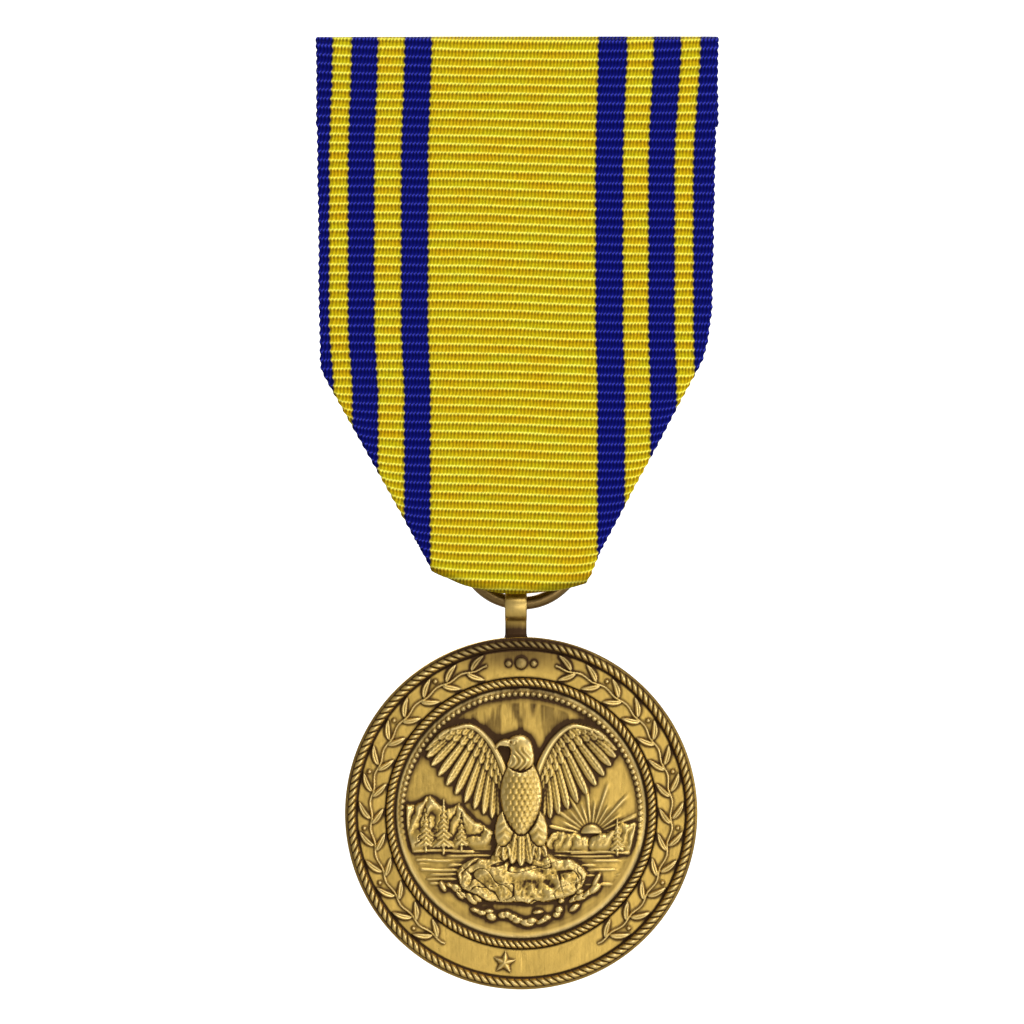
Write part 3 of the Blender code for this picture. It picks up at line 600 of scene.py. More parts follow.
def ribbon_material():
    """Grosgrain: across is mm from the ribbon's middle, along is mm down the cloth.
    Each rib runs from its crest (0) over a short step into the groove (0.33) and slowly out to the next."""
    n = Nodes("ribbon_grosgrain")
    across = n.attr("across")
    along = n.attr("along")
    count = n.times(along, 1 / RIB)
    t = n.math("FRACT", count)
    rib = n.math("FLOOR", count)

    def ramp(value, stops):
        node = n.add("ShaderNodeValToRGB")
        n.link(value, node.inputs[0])
        first, last = node.color_ramp.elements[0], node.color_ramp.elements[1]
        first.position, first.color = stops[0]
        last.position, last.color = stops[-1]
        for at, colour in stops[1:-1]:
            node.color_ramp.elements.new(at).color = colour
        return node.outputs[0]

    def cloth_noise(sx, sy, detail, y=None):
        where = n.add("ShaderNodeCombineXYZ")
        n.link(n.times(across, sx), where.inputs[0])
        n.link(n.times(along if y is None else y, sy), where.inputs[1])
        node = n.add("ShaderNodeTexNoise")
        n.link(where.outputs[0], node.inputs["Vector"])
        node.inputs["Scale"].default_value = 1.0
        node.inputs["Detail"].default_value = detail
        return node.outputs["Fac"]

    def grey(v):
        return (v, v, v, 1.0)

    # Warp yarns: a row of them on each rib, half a yarn over from one rib to the next.
    drift = cloth_noise(1.1, 1.3, 1.0)
    turn = n.plus(n.times(across, 2 * math.pi / WARP), n.times(rib, math.pi))
    turn = n.plus(turn, n.times(t, 1.5))
    yarn = n.math("SINE", n.plus(turn, n.times(drift, 5.0)))
    # Painted light and shade of the ribs: the yellow and blue ramps paint a highlight along each crest and shade in the
    # groove after it; reach paints the yarns' light and dark most strongly on the step into the groove.
    reach = ramp(t, [(0.0, grey(0.20)), (0.09, grey(0.36)), (0.18, grey(0.62)), (0.26, grey(0.52)), (0.36, grey(0.30)),
                     (0.55, grey(0.30)), (0.80, grey(0.22)), (0.93, grey(0.22)), (1.0, grey(0.20))])
    yellow = ramp(t, [(0.0, rgb(1.0, 0.97, 0.17)), (0.08, rgb(0.88, 0.83, 0.075)), (0.17, rgb(0.60, 0.50, 0.030)),
                      (0.26, rgb(0.42, 0.305, 0.006)), (0.34, rgb(0.395, 0.270, 0.002)), (0.45, rgb(0.45, 0.33, 0.002)),
                      (0.60, rgb(0.52, 0.42, 0.003)), (0.78, rgb(0.54, 0.445, 0.003)), (0.88, rgb(0.66, 0.58, 0.012)),
                      (0.95, rgb(0.92, 0.86, 0.070)), (1.0, rgb(1.0, 0.97, 0.17))])
    blue = ramp(t, [(0.0, rgb(0.030, 0.036, 0.33)), (0.10, rgb(0.018, 0.022, 0.27)), (0.20, rgb(0.004, 0.006, 0.155)),
                    (0.33, rgb(0.0008, 0.0016, 0.095)), (0.60, rgb(0.0012, 0.0024, 0.115)),
                    (0.82, rgb(0.0025, 0.004, 0.15)), (0.93, rgb(0.012, 0.016, 0.24)), (1.0, rgb(0.030, 0.036, 0.33))])
    # Slow changes of tint from rib to rib, warmer or greener, kept weak on the painted highlight just below each crest.
    tint = cloth_noise(0.30, 0.9, 3.0, rib)
    warm = n.span(tint, 0.35, 0.66)
    yellow = n.mix(n.times(warm, n.span(t, 0.0, 0.2, 0.25, 1.0)), yellow,
                   n.mix(1.0, yellow, rgb(1.06, 0.84, 0.5), "MULTIPLY"))
    soft = 0.17
    stops = [(0.0, grey(1.0))]
    tone = 1.0
    for at in STRIPE_EDGES:
        stops.append(((at - soft + 18.0) / 36.0, grey(tone)))
        tone = 1.0 - tone
        stops.append(((at + soft + 18.0) / 36.0, grey(tone)))
    stops.append((1.0, grey(1.0)))
    edge_wander = n.swing(drift, 0.16)
    m = ramp(n.span(n.plus(across, edge_wander), -18.0, 18.0), stops)
    crest = n.math("COSINE", n.times(t, 2 * math.pi))
    shifted = n.minus(n.minus(m, 0.5), n.times(crest, 0.15))
    mask = n.plus(n.times(shifted, 3.2), 0.5)
    mask = n.math("MINIMUM", n.math("MAXIMUM", mask, 0.0), 1.0)
    colour = n.mix(mask, yellow, blue)
    border = n.times(n.times(m, n.minus(1.0, m)), 2.6)
    border = n.times(border, n.span(crest, -1.0, 1.0, 1.0, 0.35))
    speck = n.times(n.minus(cloth_noise(3.4, 3.4, 2.0), 0.5), 0.75)
    # Painted highlight: in the blue stripes the yarns' light and dark grow stronger towards each crest.
    reach = n.plus(reach, n.times(mask, n.span(crest, 0.2, 1.0, 0.0, 0.62)))
    gain = n.plus(n.plus(1.0, n.times(yarn, reach)), speck)
    gain = n.times(n.math("MAXIMUM", gain, 0.12), n.minus(1.0, border))
    # Painted shade darkens the turn under at the lower edge.
    gain = n.times(gain, n.span(n.attr("painted_fold_shade"), 0.0, 1.0, 1.0, 0.50))
    scaled = n.add("ShaderNodeVectorMath", operation="SCALE")
    n.link(colour, scaled.inputs[0])
    n.link(gain, scaled.inputs["Scale"])
    n.link(scaled.outputs[0], n.shader.inputs["Base Color"])
    n.link(n.span(crest, -1.0, 1.0, 0.68, 0.46), n.shader.inputs["Roughness"])
    n.shader.inputs["Specular IOR Level"].default_value = 0.04
    n.shader.inputs["Sheen Weight"].default_value = 0.012
    n.shader.inputs["Sheen Roughness"].default_value = 0.45
    fibre = n.noise((9000, 9000, 2200), 2.0, 0.6)
    n.bump(n.plus(n.times(yarn, 0.6), n.times(fibre, 0.4)), 0.55, 0.00008)
    return n.mat


def thread_material():
    n = Nodes("sewing_thread")
    twist = n.noise((5200, 5200, 2400), 2.0, 0.5)
    cloud = n.noise((600, 600, 600), 2.0, 0.5)
    n.link(n.mix(n.span(n.plus(twist, cloud), 0.7, 1.3), rgb(0.008, 0.01, 0.07), rgb(0.03, 0.035, 0.2)),
           n.shader.inputs["Base Color"])
    n.link(n.span(cloud, 0.3, 0.7, 0.6, 0.8), n.shader.inputs["Roughness"])
    n.bump(twist, 0.7, 0.00006)
    return n.mat


BRONZE_DARK = rgb(0.058, 0.027, 0.008)
# Bright bronze for worn crests, also used for the eyelet's painted highlight.
BRONZE_WORN_AND_HIGHLIGHT = rgb(0.84, 0.64, 0.27)
bronze = bronze_material("planchet_bronze", rgb(0.53, 0.345, 0.080), (3400, 3400, 260))
wire_bronze = bronze_material("ring_bronze", rgb(0.205, 0.13, 0.045), (900, 900, 900), use_attr=False)
brass = brass_material("brooch_brass", rgb(0.66, 0.47, 0.19), 0.26, 0.42, (120, 2600, 2600))
nickel = brass_material("pin_nickel", rgb(0.66, 0.62, 0.53), 0.18, 0.32, (150, 3000, 3000))


def coat(obj, material):
    obj.data.materials.clear()
    obj.data.materials.append(material)


def give(obj, material, body, node):
    """Let a mesh stand for a CAD node, on that node's body."""
    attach(obj, body)
    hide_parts(node)
    coat(obj, material)


# ---------------------------------------------------------------- planchet
planchet_low, planchet_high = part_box("planchet")
DISC_R = (planchet_high.x - planchet_low.x) / 2 / MM
DISC_Z = (planchet_high.z + planchet_low.z) / 2 / MM
FRONT_Y = planchet_low.y / MM
BACK_Y = planchet_high.y / MM
FIELD_Y = FRONT_Y + 0.65
# Each rope's middle radius, half width, number of strands and height.
INNER_ROPE = (11.42, 0.36, 136, 0.40)
OUTER_ROPE = (14.74, 0.36, 141, 0.48)
BAND_MIDDLE = 13.07
SCENE_R = 11.0


def depth_tones(h, cell, wide=0.30, narrow=0.12):
    """How far each point lies below its neighbours, where tarnish gathers, and how far it stands above them, where it
    is worn bright.
    """
    far = blur(h, wide / cell) - h
    near = blur(h, narrow / cell) - h
    patina_and_shade = np.clip(far / 0.10, 0, 1) * 0.75 + np.clip(near / 0.035, 0, 1) * 0.35
    crest = np.clip(-far / 0.14, 0, 1) * 0.6 + np.clip(-near / 0.04, 0, 1) * 0.4
    return np.clip(patina_and_shade, 0, 1), np.clip(crest, 0, 1)


def build_medallion():
    cell = 0.0665
    reach = SCENE_R + 0.05
    xs = np.linspace(-reach, reach, int(2 * reach / cell))
    X, Z = np.meshgrid(xs, xs)
    R = np.hypot(X, Z)
    h = medallion_height(X, Z)
    h = np.where(R > 10.85, 0.02 - 1.6 * (R - 10.85), h)
    patina_and_shade, crest = depth_tones(h, cell)
    streaks = np.clip(0.5 + 1.3 * fbm(X / 0.5, Z / 3.5, 57, 4), 0, 1)
    beads = smoothstep(9.5, 9.7, R) * (1 - crest)
    # Painted shade darkens the top in streaks, less so on the beads, which take a painted shade of their own towards
    # the top; faint streaky tarnish lies all over, and patina in the troughs beside the beads.
    patina_and_shade = patina_and_shade + (0.10 + 0.36 * streaks) * smoothstep(3.0, 9.0, Z) * (1 - beads)
    patina_and_shade = patina_and_shade + 0.22 * beads * smoothstep(2.0, 8.0, Z) + 0.10 * streaks
    patina_and_shade = patina_and_shade * (1 - 0.6 * crest)
    trough = 0.25 * smoothstep(9.6, 10.3, R) * (1 - smoothstep(10.3, 10.5, R))
    patina_and_shade = np.clip(patina_and_shade + 0.5 * smoothstep(10.55, 10.85, R) + trough, 0, 1)
    keep = R < SCENE_R
    index = -np.ones(R.shape, int)
    index[keep] = np.arange(keep.sum())
    verts = np.stack([X[keep], FIELD_Y - h[keep], DISC_Z + Z[keep]], 1)
    a, b = index[:-1, :-1], index[:-1, 1:]
    c, d = index[1:, 1:], index[1:, :-1]
    ok = (a >= 0) & (b >= 0) & (c >= 0) & (d >= 0)
    faces = np.stack([a[ok], b[ok], c[ok], d[ok]], 1)
    obj = add_mesh("planchet_relief", verts, faces)
    set_attr(obj, "patina_and_shade", patina_and_shade[keep])
    set_attr(obj, "crest", crest[keep])
    return obj


def build_annulus(name, r0, r1, around, across, height, rope=None):
    """A turned band of relief: height is a function of angle and radius."""
    S = np.linspace(-math.pi, math.pi, around, endpoint=False)
    RR, SS = np.meshgrid(np.linspace(r0, r1, across), S, indexing="ij")
    h = height(SS, RR)
    if rope:
        # Strands stand bright out of dark gaps.
        middle, half, _, tall = rope
        off = np.abs(RR - middle) / half
        over = np.sqrt(np.clip(1 - off ** 2, 0.02, 1))
        strand = (h / (tall * over) - 0.2) / 0.8
        patina_and_shade = np.clip(smoothstep(0.95, 0.55, strand) * 0.95 + smoothstep(0.75, 0.98, off), 0, 1)
        patina_and_shade = patina_and_shade * (1 - 0.55 * smoothstep(15.09, 15.17, RR))
        crest = smoothstep(0.8, 1.0, strand) * smoothstep(0.7, 0.2, off)
    else:
        wrap = 40
        patina_and_shade, crest = depth_tones(np.concatenate([h[:, -wrap:], h, h[:, :wrap]], 1), 0.058, wide=0.12)
        edge_dark = 0.62 * smoothstep(1.0, 1.22, np.abs(RR - 13.05))
        patina_and_shade = np.clip(patina_and_shade[:, wrap:-wrap] * 0.72 + edge_dark, 0, 1)
        crest = crest[:, wrap:-wrap]
    # Painted shadow of the eyelet darkens the top, most on the band and the outer rope.
    patina_and_shade = np.clip(patina_and_shade + 0.62 * np.exp(-((SS + 0.03) / 0.40) ** 2) * smoothstep(11.6, 14.0, RR), 0, 1)
    h[0] -= 0.35
    h[-1] -= 0.35
    verts = np.stack([RR * np.sin(SS), FIELD_Y - h, DISC_Z + RR * np.cos(SS)], -1).reshape(-1, 3)
    obj = add_mesh(name, verts, grid_faces(across, around, wrap_cols=True))
    set_attr(obj, "patina_and_shade", patina_and_shade)
    set_attr(obj, "crest", crest)
    return obj


def build_disc_body():
    """Plain edge, low reverse rim and reverse field, closed under the relief."""
    profile = [(0.0, FIELD_Y + 0.25), (15.0, FIELD_Y + 0.25), (15.18, FIELD_Y - 0.05), (DISC_R - 0.06, FIELD_Y - 0.02),
               (DISC_R, FIELD_Y + 0.10), (DISC_R, FIELD_Y + 0.6), (DISC_R, BACK_Y - 0.35),
               (DISC_R - 0.06, BACK_Y - 0.14), (DISC_R - 0.2, BACK_Y - 0.03), (DISC_R - 0.4, BACK_Y),
               (14.45, BACK_Y), (14.3, BACK_Y - 0.03), (14.16, BACK_Y - 0.12), (14.0, BACK_Y - 0.15)]
    profile += [(r, BACK_Y - 0.15 + 0.012 * math.sin(r * 1.7)) for r in np.linspace(13.6, 1.0, 26)]
    profile += [(0.0, BACK_Y - 0.15)]
    around = 256
    ring = profile[1:-1]
    S = np.linspace(0, 2 * math.pi, around, endpoint=False)
    verts = [(0.0, profile[0][1], DISC_Z)]
    for r, y in ring:
        verts += [(r * math.sin(s), y, DISC_Z + r * math.cos(s)) for s in S]
    verts.append((0.0, profile[-1][1], DISC_Z))
    mesh = bpy.data.meshes.new("planchet_body")
    faces = []
    for k in range(around):
        k2 = (k + 1) % around
        faces.append((0, 1 + k2, 1 + k))
        for j in range(len(ring) - 1):
            a = 1 + j * around
            faces.append((a + k, a + k2, a + around + k2, a + around + k))
        last = 1 + (len(ring) - 1) * around
        faces.append((last + k, last + k2, len(verts) - 1))
    mesh.from_pydata([tuple(c * MM for c in v) for v in verts], [], faces)
    obj = bpy.data.objects.new("planchet_body", mesh)
    bpy.context.scene.collection.objects.link(obj)
    bm = bmesh.new()
    bm.from_mesh(mesh)
    bmesh.ops.recalc_face_normals(bm, faces=bm.faces)
    for edge in bm.edges:
        edge.smooth = edge.calc_face_angle(0) < math.radians(50)
    for face in bm.faces:
        face.smooth = True
    bm.to_mesh(mesh)
    bm.free()
    R = np.array([math.hypot(v[0], v[2] - DISC_Z) for v in verts])
    Y = np.array([v[1] for v in verts])
    patina_and_shade = 0.55 * np.exp(-((R - 14.1) / 0.25) ** 2) * (Y > BACK_Y - 0.3) + 0.12
    crest = 0.8 * (np.abs(R - (DISC_R - 0.25)) < 0.25) * (Y > BACK_Y - 0.2)
    set_attr(obj, "patina_and_shade", patina_and_shade)
    set_attr(obj, "crest", crest)
    return obj


def outer_rope(S, R):
    return 0.04 + 0.16 * smoothstep(15.08, 15.16, R) + rope_height(S, R, OUTER_ROPE)


def inner_rope(S, R):
    return 0.02 + rope_height(S, R, INNER_ROPE)


def laurel(S, R):
    return band_height(S, R - BAND_MIDDLE)


fine = 1
for piece in (
        build_disc_body(),
        build_medallion(),
        build_annulus("planchet_inner_rope", 10.90, 11.86, 1764 // fine, 13, inner_rope, INNER_ROPE),
        build_annulus("planchet_band", 11.78, 14.30, 1500 // fine, 42 // fine, laurel),
        build_annulus("planchet_outer_rope", 14.22, 15.30, 2124 // fine, 15, outer_rope, OUTER_ROPE)):
    give(piece, bronze, "medal", "planchet")

# ---------------------------------------------------------------- ring and eyelet
ring_low, ring_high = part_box("suspension_ring")
RING_Z = (ring_low.z + ring_high.z) / 2 / MM
RING_Y = (ring_low.y + ring_high.y) / 2 / MM
WIRE_R = (ring_high.y - ring_low.y) / 2 / MM + 0.012
RING_R = (ring_high.x - ring_low.x) / 2 / MM - WIRE_R


def build_ring():
    around, sides = 192, 28
    S = np.linspace(0, 2 * math.pi, around, endpoint=False)
    T = np.linspace(0, 2 * math.pi, sides, endpoint=False)
    SS, TT = np.meshgrid(S, T, indexing="ij")
    wire = (WIRE_R + 0.02) * (1 + 0.012 * value_noise(SS * 6, TT * 2, 91))
    radius = RING_R - 0.02 + wire * np.cos(TT)
    verts = np.stack([radius * np.sin(SS), RING_Y + wire * np.sin(TT), RING_Z + radius * np.cos(SS)], -1).reshape(-1, 3)
    return add_mesh("suspension_ring_wire", verts, grid_faces(around, sides, True, True, flip=True))


eyelet_low, eyelet_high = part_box("suspension_eyelet")


def rounded_section(half_a, half_b, corner, steps=4):
    """Corners of a rounded rectangle, in order."""
    out = []
    for quarter in range(4):
        ca = half_a - corner if quarter in (0, 3) else -(half_a - corner)
        cb = half_b - corner if quarter in (0, 1) else -(half_b - corner)
        for k in range(steps + 1):
            a = math.pi / 2 * (quarter + k / steps)
            out.append((ca + corner * math.cos(a), cb + corner * math.sin(a)))
    return out


def build_eyelet():
    outer, inner, half = 1.42, 1.06, 0.96
    centre = eyelet_high.z / MM - 1.58
    aside = -0.46
    section = rounded_section(half, (outer - inner) / 2, 0.15)
    around = 96
    verts, mid = [], (outer + inner) / 2
    for k in range(around):
        a = 2 * math.pi * k / around
        for x, out in section:
            r = mid + out + (0.05 * (1 - (x / half) ** 2) if out > 0 else 0)
            verts.append((x + aside, RING_Y + r * math.sin(a), centre + r * math.cos(a)))
    obj_a = add_mesh("suspension_eyelet_loop", verts, grid_faces(around, len(section), True, True))
    # Stem and flared foot, down to the planchet's edge.
    # Its front leaves the loop along the loop's own slope, so the two meet without a crease.
    crown_r, parting = outer + 0.05, -1.26
    verts, levels = [], np.linspace(-1.05, -3.0, 40)
    for z in levels:
        foot = float(smoothstep(-2.4, -2.95, z))
        a = 0.94 + 0.10 * foot
        front = math.sqrt(crown_r ** 2 - max(z, parting) ** 2) - 0.012
        if z <= parting:
            front += 0.40 * foot - 0.24 * (1 - math.exp((z - parting) / 0.145))
        verts += [(x + aside, RING_Y + y * (1 + 0.10 * (1 - (x / a) ** 2)), centre + z)
                  for x, y in rounded_section(a, front / 1.10, 0.26)]
    obj_b = add_mesh("stem", verts, grid_faces(len(levels), len(section), False, True))
    bm = bmesh.new()
    bm.from_mesh(obj_a.data)
    bm.from_mesh(obj_b.data)
    bmesh.ops.holes_fill(bm, edges=[e for e in bm.edges if e.is_boundary], sides=0)
    bmesh.ops.recalc_face_normals(bm, faces=bm.faces)
    bm.to_mesh(obj_a.data)
    bm.free()
    for face in obj_a.data.polygons:
        face.use_smooth = True
    bpy.data.objects.remove(obj_b)
    Z = np.array([v.co.z for v in obj_a.data.vertices]) / MM
    # Painted shade darkens the eyelet from below the loop down to the foot; a painted highlight brightens the loop.
    set_attr(obj_a, "patina_and_shade", 0.05 + 0.85 * np.clip((centre - 0.9 - Z) / 1.3, 0, 1))
    set_attr(obj_a, "crest", 0.3 * np.exp(-((Z - centre) / 0.8) ** 2))
    return obj_a


give(build_ring(), wire_bronze, "ring", "suspension_ring")
give(build_eyelet(), bronze, "medal", "suspension_eyelet")

# ---------------------------------------------------------------- ribbon
CLOTH = 0.45
RIB_DEPTH = 0.11
ribbon_low, ribbon_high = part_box("ribbon")
LEAF_Y = ribbon_low.y / MM + CLOTH / 2
TOP_Z = ribbon_high.z / MM
ROLL_R = 1.025
HEM = 6.6
HANG_X = -0.36
DROP = 48.5
U_R = 0.295
ROW = RIB / 6
LEFT_EDGE = ((0, -17.47), (28.0, -17.14), (28.9, -17.04), (29.3, -16.88), (29.9, -16.60), (46.4, -7.40),
             (46.9, -7.18), (47.4, -7.0), (49.0, -6.7))
RIGHT_EDGE = ((0, 17.50), (15.3, 17.11), (23.8, 16.94), (26.4, 16.62), (28.2, 16.12), (29.9, 15.22), (43.7, 7.84),
              (44.9, 7.20), (46.8, 6.42), (47.6, 5.88), (48.2, 5.42), (49.0, 5.0))


def sag(x):
    """How far the lower edge rises away from its middle: it hangs in a curve, deeper on the left."""
    return np.where(x < 0, 0.036, 0.025) * x ** 2


def edge_at(side, drop):
    table = LEFT_EDGE if side < 0 else RIGHT_EDGE
    return np.interp(drop, [p[0] for p in table], [p[1] for p in table])


def cloth_across(x, drop):
    """Where a point of the front leaf lies across the cloth: the pull of the folds shifts the stripes a little."""
    pull = smoothstep(0, 11.6, drop)
    relax = smoothstep(24.7, 31.6, drop)
    u = x + np.where(x < 0, 0.304, 0.245) * pull - np.where(x < 0, 0.20, 0.165) * relax
    u = np.where(u < -7.48, u - 0.026 * relax * (-7.48 - u), u)
    return np.where(u > 7.03, u + 0.046 * pull * (u - 7.03), u)


def rib_valley(along):
    """0 on a rib's crest to 1 in the groove after it: a short drop, then a slow rise to the next crest."""
    t = np.mod(along / RIB, 1.0)
    fall = np.cos(math.pi / 2 * np.clip(t / 0.33, 0, 1)) ** 2
    rise = np.sin(math.pi / 2 * np.clip((t - 0.33) / 0.67, 0, 1)) ** 0.8
    return 1 - np.where(t < 0.33, fall, rise)


def rib_lean(x, drop, gap):
    """How far a rib sinks below straight across: it leans with the hang and lifts beside a fold."""
    lean = 0.32 * np.tanh((x - 1.5) / 8) * (0.4 + 0.6 * smoothstep(0, 14, drop))
    bow = -0.0010 * x ** 2 * (1 - smoothstep(0, 13, drop))
    lift = -0.28 * np.exp(-np.clip(gap, 0, None) / 1.2) * smoothstep(30, 33, drop)
    waver = 0.03 * fbm(x / 4.5, drop / 5.0, 31, 2)
    return lean + bow + lift + waver


ribbon_parts = []


def cloth_piece(points, across, along):
    """points: rows of closed sections."""
    rows, cols = points.shape[:2]
    start = sum(len(p[0]) for p in ribbon_parts)
    ribbon_parts.append((points.reshape(-1, 3), grid_faces(rows, cols, False, True, offset=start),
                         np.ravel(across), np.ravel(along)))


def build_leaf():
    """Hem inside the brooch, roll over it, front leaf and the fold under at the neck."""
    roll_len = math.pi * ROLL_R
    front_len = DROP - CLOTH / 2 - U_R - (CLOTH / 2 + ROLL_R)
    turn_len = math.pi * (U_R + CLOTH / 2) * 0.8
    tail_len = 1.5
    total = HEM + roll_len + front_len + turn_len + tail_len
    s = np.arange(0, total, ROW)
    y, z, ny, nz = np.zeros((4, len(s)))
    z_roll = TOP_Z - CLOTH / 2 - ROLL_R
    y_roll = LEAF_Y + ROLL_R
    hem = s < HEM
    y[hem], z[hem], ny[hem] = y_roll + ROLL_R, z_roll - HEM + s[hem], 1
    roll = ~hem & (s < HEM + roll_len)
    t = (s[roll] - HEM) / ROLL_R
    y[roll], z[roll] = y_roll + ROLL_R * np.cos(t), z_roll + ROLL_R * np.sin(t)
    ny[roll], nz[roll] = np.cos(t), np.sin(t)
    q = s - HEM - roll_len
    front = (q >= 0) & (q < front_len)
    y[front], z[front], ny[front] = LEAF_Y, z_roll - q[front], -1
    z_turn = z_roll - front_len
    turn = (q >= front_len) & (q < front_len + turn_len)
    t = (q[turn] - front_len) / turn_len * math.pi
    y[turn], z[turn] = LEAF_Y + U_R - U_R * np.cos(t), z_turn - U_R * np.sin(t)
    ny[turn], nz[turn] = -np.cos(t), -np.sin(t)
    end = q >= front_len + turn_len
    y[end], z[end], ny[end] = LEAF_Y + 2 * U_R, z_turn + (q[end] - front_len - turn_len), 1
    drop = TOP_Z - z
    drop[s < HEM + roll_len] = 0
    low = smoothstep(43.0, DROP, drop)
    low[q > front_len] = 1
    # Side edges: the lower rows sag, so the edge is read where it ends up.
    xl = edge_at(-1, drop)
    xr = edge_at(1, drop)
    for _ in range(6):
        xl = edge_at(-1, drop - low * sag(xl))
        xr = edge_at(1, drop - low * sag(xr))
    serration = 0.055 * np.cos(2 * math.pi * s / RIB)
    xl = xl + serration - 0.03 * value_noise(s / 2.1, s * 0, 41)
    xr = xr - serration + 0.03 * value_noise(s / 1.9, s * 0, 42)
    still = 1 - smoothstep(0, 1, (q - front_len + 0.6) / 0.6)
    fold_l = smoothstep(28.6, 30.2, drop) * still
    fold_r = smoothstep(26.0, 29.8, drop) * still
    nf = 112
    nb = 26
    theta = np.radians(np.linspace(72, -72, 6))
    none = np.zeros_like(s)
    # Columns round the section: place, height over the middle, place on the cloth, slip along it, face.
    cols = []

    def round_edge(side, start, out, half, fold):
        for ang in theta[::side]:
            reach = (math.pi / 2 - ang) * (out + half) / 2
            cols.append((start + side * out * np.cos(ang), CLOTH / 2 - half + half * np.sin(ang),
                         start + side * reach * (1 - 0.14 * fold), 0.5 * reach * fold, 1))

    al, ar = 0.12 + 0.30 * fold_l, 0.12 + 0.30 * fold_r
    bl, br = 0.225 + 0.175 * fold_l, 0.225 + 0.175 * fold_r
    for f in np.linspace(0, 1, nf):
        x = xl + al + f * (xr - ar - xl - al)
        cols.append((x, none + CLOTH / 2, x, none, 1))
    round_edge(1, xr - ar, ar, br, fold_r)
    for k in range(nb):
        x = xr - ar + k / (nb - 1) * (xl + al - xr + ar)
        edge_gap = np.minimum(xr - ar - x, x - xl - al)
        fold = np.where(x > 0, fold_r * (2 * br - CLOTH), fold_l * (2 * bl - CLOTH))
        dist = -CLOTH / 2 - fold * (1 - smoothstep(0.2, 1.5, edge_gap))
        cols.append((x, dist, x, none, -1))
    round_edge(-1, xl + al, al, bl, fold_l)
    X, D, U, DS = (np.stack([c[k] for c in cols], 1) for k in range(4))
    face = np.array([c[4] for c in cols])
    DROPS = np.clip(drop[:, None] - low[:, None] * sag(X), 0, None)
    across = cloth_across(U, DROPS)
    gap = np.minimum(X - (xl + al)[:, None], (xr - ar)[:, None] - X)
    along = s[:, None] + DS - low[:, None] * sag(X) - rib_lean(X, DROPS, gap)
    # The weave is a little slack: shallow swells that pass down the leaf.
    free = smoothstep(8, 16, drop)[:, None]
    swell = 0.05 * free * fbm(X / 9.0 + 3, s[:, None] / 11.0, 51, 2) * (1 - low[:, None])
    press = (1 - 0.85 * hem)[:, None]
    D = D - face * RIB_DEPTH * rib_valley(along) * press + swell
    zz = z[:, None] + nz[:, None] * D + low[:, None] * sag(X)
    yy = y[:, None] + ny[:, None] * D
    cloth_piece(np.stack([X + HANG_X, yy, zz], -1), across, along)
    return HEM + roll_len - (CLOTH / 2 + ROLL_R)


def build_flap(side, along_zero, back_y):
    """The side of the cloth folded behind the leaf along the diagonal, and on round the neck."""
    # The fold runs between two points of the leaf's edge.
    ends = (LEFT_EDGE[3], LEFT_EDGE[5]) if side < 0 else (RIGHT_EDGE[4], RIGHT_EDGE[6])
    p0, p1 = (np.array([x, TOP_Z - drop]) for drop, x in ends)
    length = np.linalg.norm(p1 - p0)
    along_fold = (p1 - p0) / length
    weft = np.array([side, 0.0])
    folded = 2 * along_fold.dot(weft) * along_fold - weft
    start_angle = math.atan2(folded[1], folded[0])
    end_angle = 0.0 if side < 0 else math.pi
    step = ROW / abs(along_fold[1])
    n1 = int(length / step)
    n2 = 34
    rows = []
    for i in range(n1 + n2):
        if i < n1:
            t = i * step
            pivot = p0 + along_fold * t
            ang = start_angle
            drop = TOP_Z - pivot[1]
            along = along_zero + drop - float(rib_lean(np.array(pivot[0]), np.array(drop), np.array(0.0)))
            along_end = along
        else:
            turn = (i - n1 + 1) / n2
            pivot = p1 + np.array([-side * 0.35, 0.2]) * min(1.0, 3 * turn)
            ang = start_angle + (end_angle - start_angle) * turn * 0.97
            along = along_end + turn * n2 * ROW
        rows.append((pivot, ang, along, max(17.1 - abs(pivot[0]), 0.15)))
    nb = 16
    tip = np.radians(np.linspace(60, -60, 4))
    leaf_back = LEAF_Y + CLOTH / 2
    points, across, alongs = [], [], []
    for pivot, ang, along, extent in rows:
        e0 = min(0.36, extent * 0.5)
        e = e0 + (extent - e0) * np.linspace(0, 1, nb)
        x = pivot[0] + math.cos(ang) * e
        z = pivot[1] + math.sin(ang) * e
        u = side * (abs(pivot[0]) + e)
        begun = float(smoothstep(0.0, 2.2, np.linalg.norm(pivot - p0)))
        back = leaf_back + (back_y - leaf_back) * (0.12 + 0.88 * begun)
        y_back = np.full(nb, back - RIB_DEPTH * rib_valley(along))
        y_front = np.full(nb, leaf_back - 0.04)
        # Rounded outer selvedge between the two faces.
        xt = pivot[0] + math.cos(ang) * (extent + 0.12 * np.cos(tip))
        zt = pivot[1] + math.sin(ang) * (extent + 0.12 * np.cos(tip))
        yt = (back + y_front[0]) / 2 + (back - y_front[0]) / 2 * np.sin(tip)
        xs = np.concatenate([x, xt, x[::-1]])
        ys = np.concatenate([y_back, yt, y_front])
        zs = np.concatenate([z, zt, z[::-1]])
        points.append(np.stack([xs + HANG_X, ys, zs], -1))
        across.append(np.concatenate([u, np.full(4, side * (abs(pivot[0]) + extent)), u[::-1]]))
        alongs.append(np.full(len(xs), along))
    points, across, alongs = (np.array(v)[:, ::side] for v in (points, across, alongs))
    cloth_piece(points, across, alongs)


